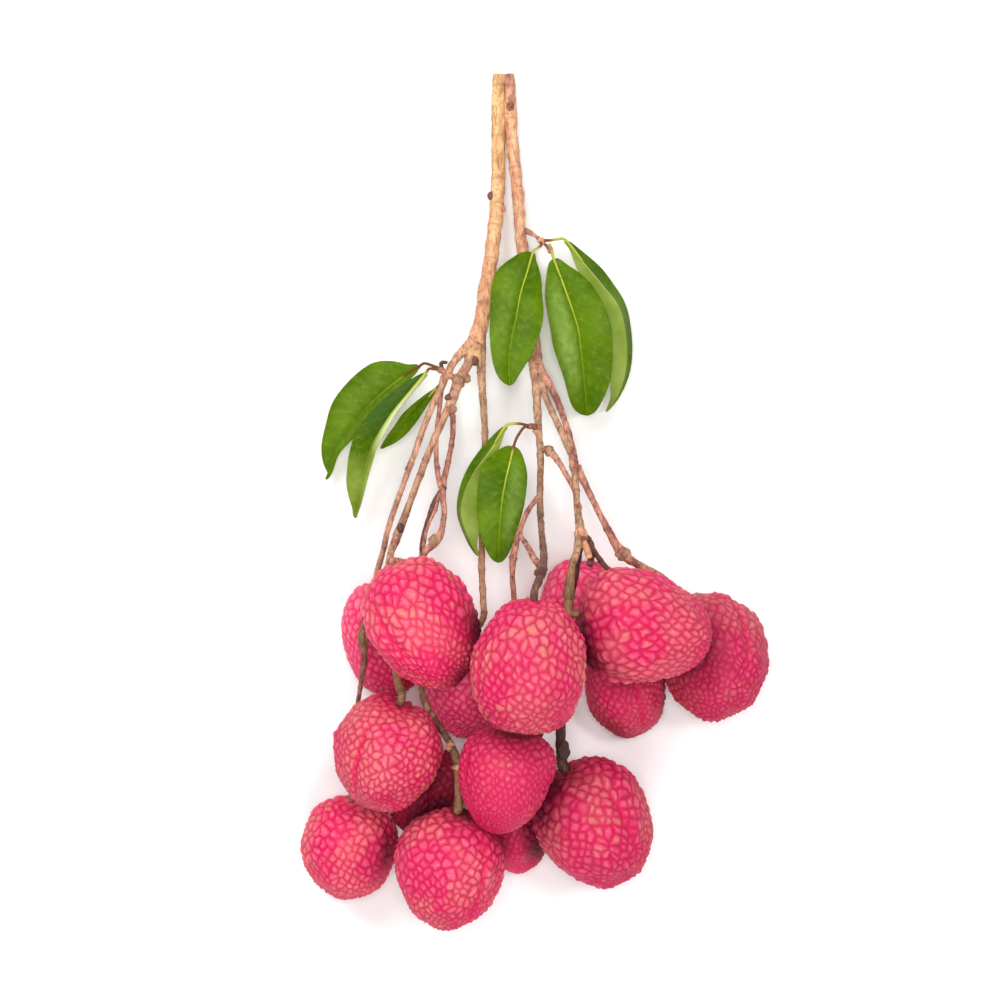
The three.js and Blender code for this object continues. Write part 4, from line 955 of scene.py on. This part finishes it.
# Soft lamps: place, diameter and power.
LAMPS = {
    "key": ((-300, 420, 660), 460, 3.7),
    "fill": ((330, 60, 760), 170, 1.8),
    "top": ((-20, 30, 950), 240, 3.2),
    "front": ((-40, -460, 520), 300, 1.3),
}
LAMP_AIM = (0, -30, 20)
CAMERA_HEIGHT = 800.0      # above the surface
CAMERA_PLACE = (-10.0, -1.0)
SENSOR_WIDTH = 36.0
FOCAL_SHARE = 2.6          # focal length as a share of the sensor's width
CAMERA_NEAR = 0.01         # metres


def build_stage():
    n = Nodes("floor")
    colour = n.mix(n.noise(60), rgb(246, 246, 246), rgb(250, 250, 250))
    material = n.finish(colour, 0.9)
    corners = [(-1, -1, 0), (1, -1, 0), (1, 1, 0), (-1, 1, 0)]
    floor = new_mesh("floor", np.array(corners) * FLOOR_HALF, [(0, 1, 2), (0, 2, 3)], {}, material)
    floor.location.z = -FLOOR_DROP * MM


def area_light(name, at, size, power):
    light = bpy.data.lights.new(name, "AREA")
    light.shape = "DISK"
    light.size = size * MM
    light.energy = power
    lamp = bpy.data.objects.new(name, light)
    bpy.context.scene.collection.objects.link(lamp)
    lamp.location = Vector(at) * MM
    lamp.rotation_euler = (Vector(LAMP_AIM) - Vector(at)).to_track_quat("-Z", "Y").to_euler()


def build_light():
    world = bpy.data.worlds.new("studio")
    bpy.context.scene.world = world
    world.use_nodes = True
    background = world.node_tree.nodes["Background"]
    background.inputs["Color"].default_value = (1.0, 1.0, 1.0, 1.0)
    background.inputs["Strength"].default_value = WORLD_STRENGTH
    for name, (at, size, power) in LAMPS.items():
        area_light(name, at, size, power)


def build_camera():
    camera = bpy.data.cameras.new("camera")
    camera.sensor_width = SENSOR_WIDTH
    camera.lens = SENSOR_WIDTH * FOCAL_SHARE
    camera.clip_start = CAMERA_NEAR
    lens = bpy.data.objects.new("camera", camera)
    bpy.context.scene.collection.objects.link(lens)
    lens.location = [axis * MM for axis in (*CAMERA_PLACE, CAMERA_HEIGHT)]
    bpy.context.scene.camera = lens
    bpy.context.scene.view_settings.view_transform = "Standard"


# ------ bunch
spheres = {detail: geodesic(detail) for detail in (SHOWN_DETAIL, HIDDEN_DETAIL)}
rind = rind_material()
for fruit_number in range(1, len(FRUITS) + 1):
    build_fruit(fruit_number, rind, spheres)
build_branch(bark_material())
leaf_green = leaf_material()
for leaf_number in range(1, len(LEAVES) + 1):
    build_leaf(leaf_number, leaf_green)
build_stage()
build_light()
build_camera()
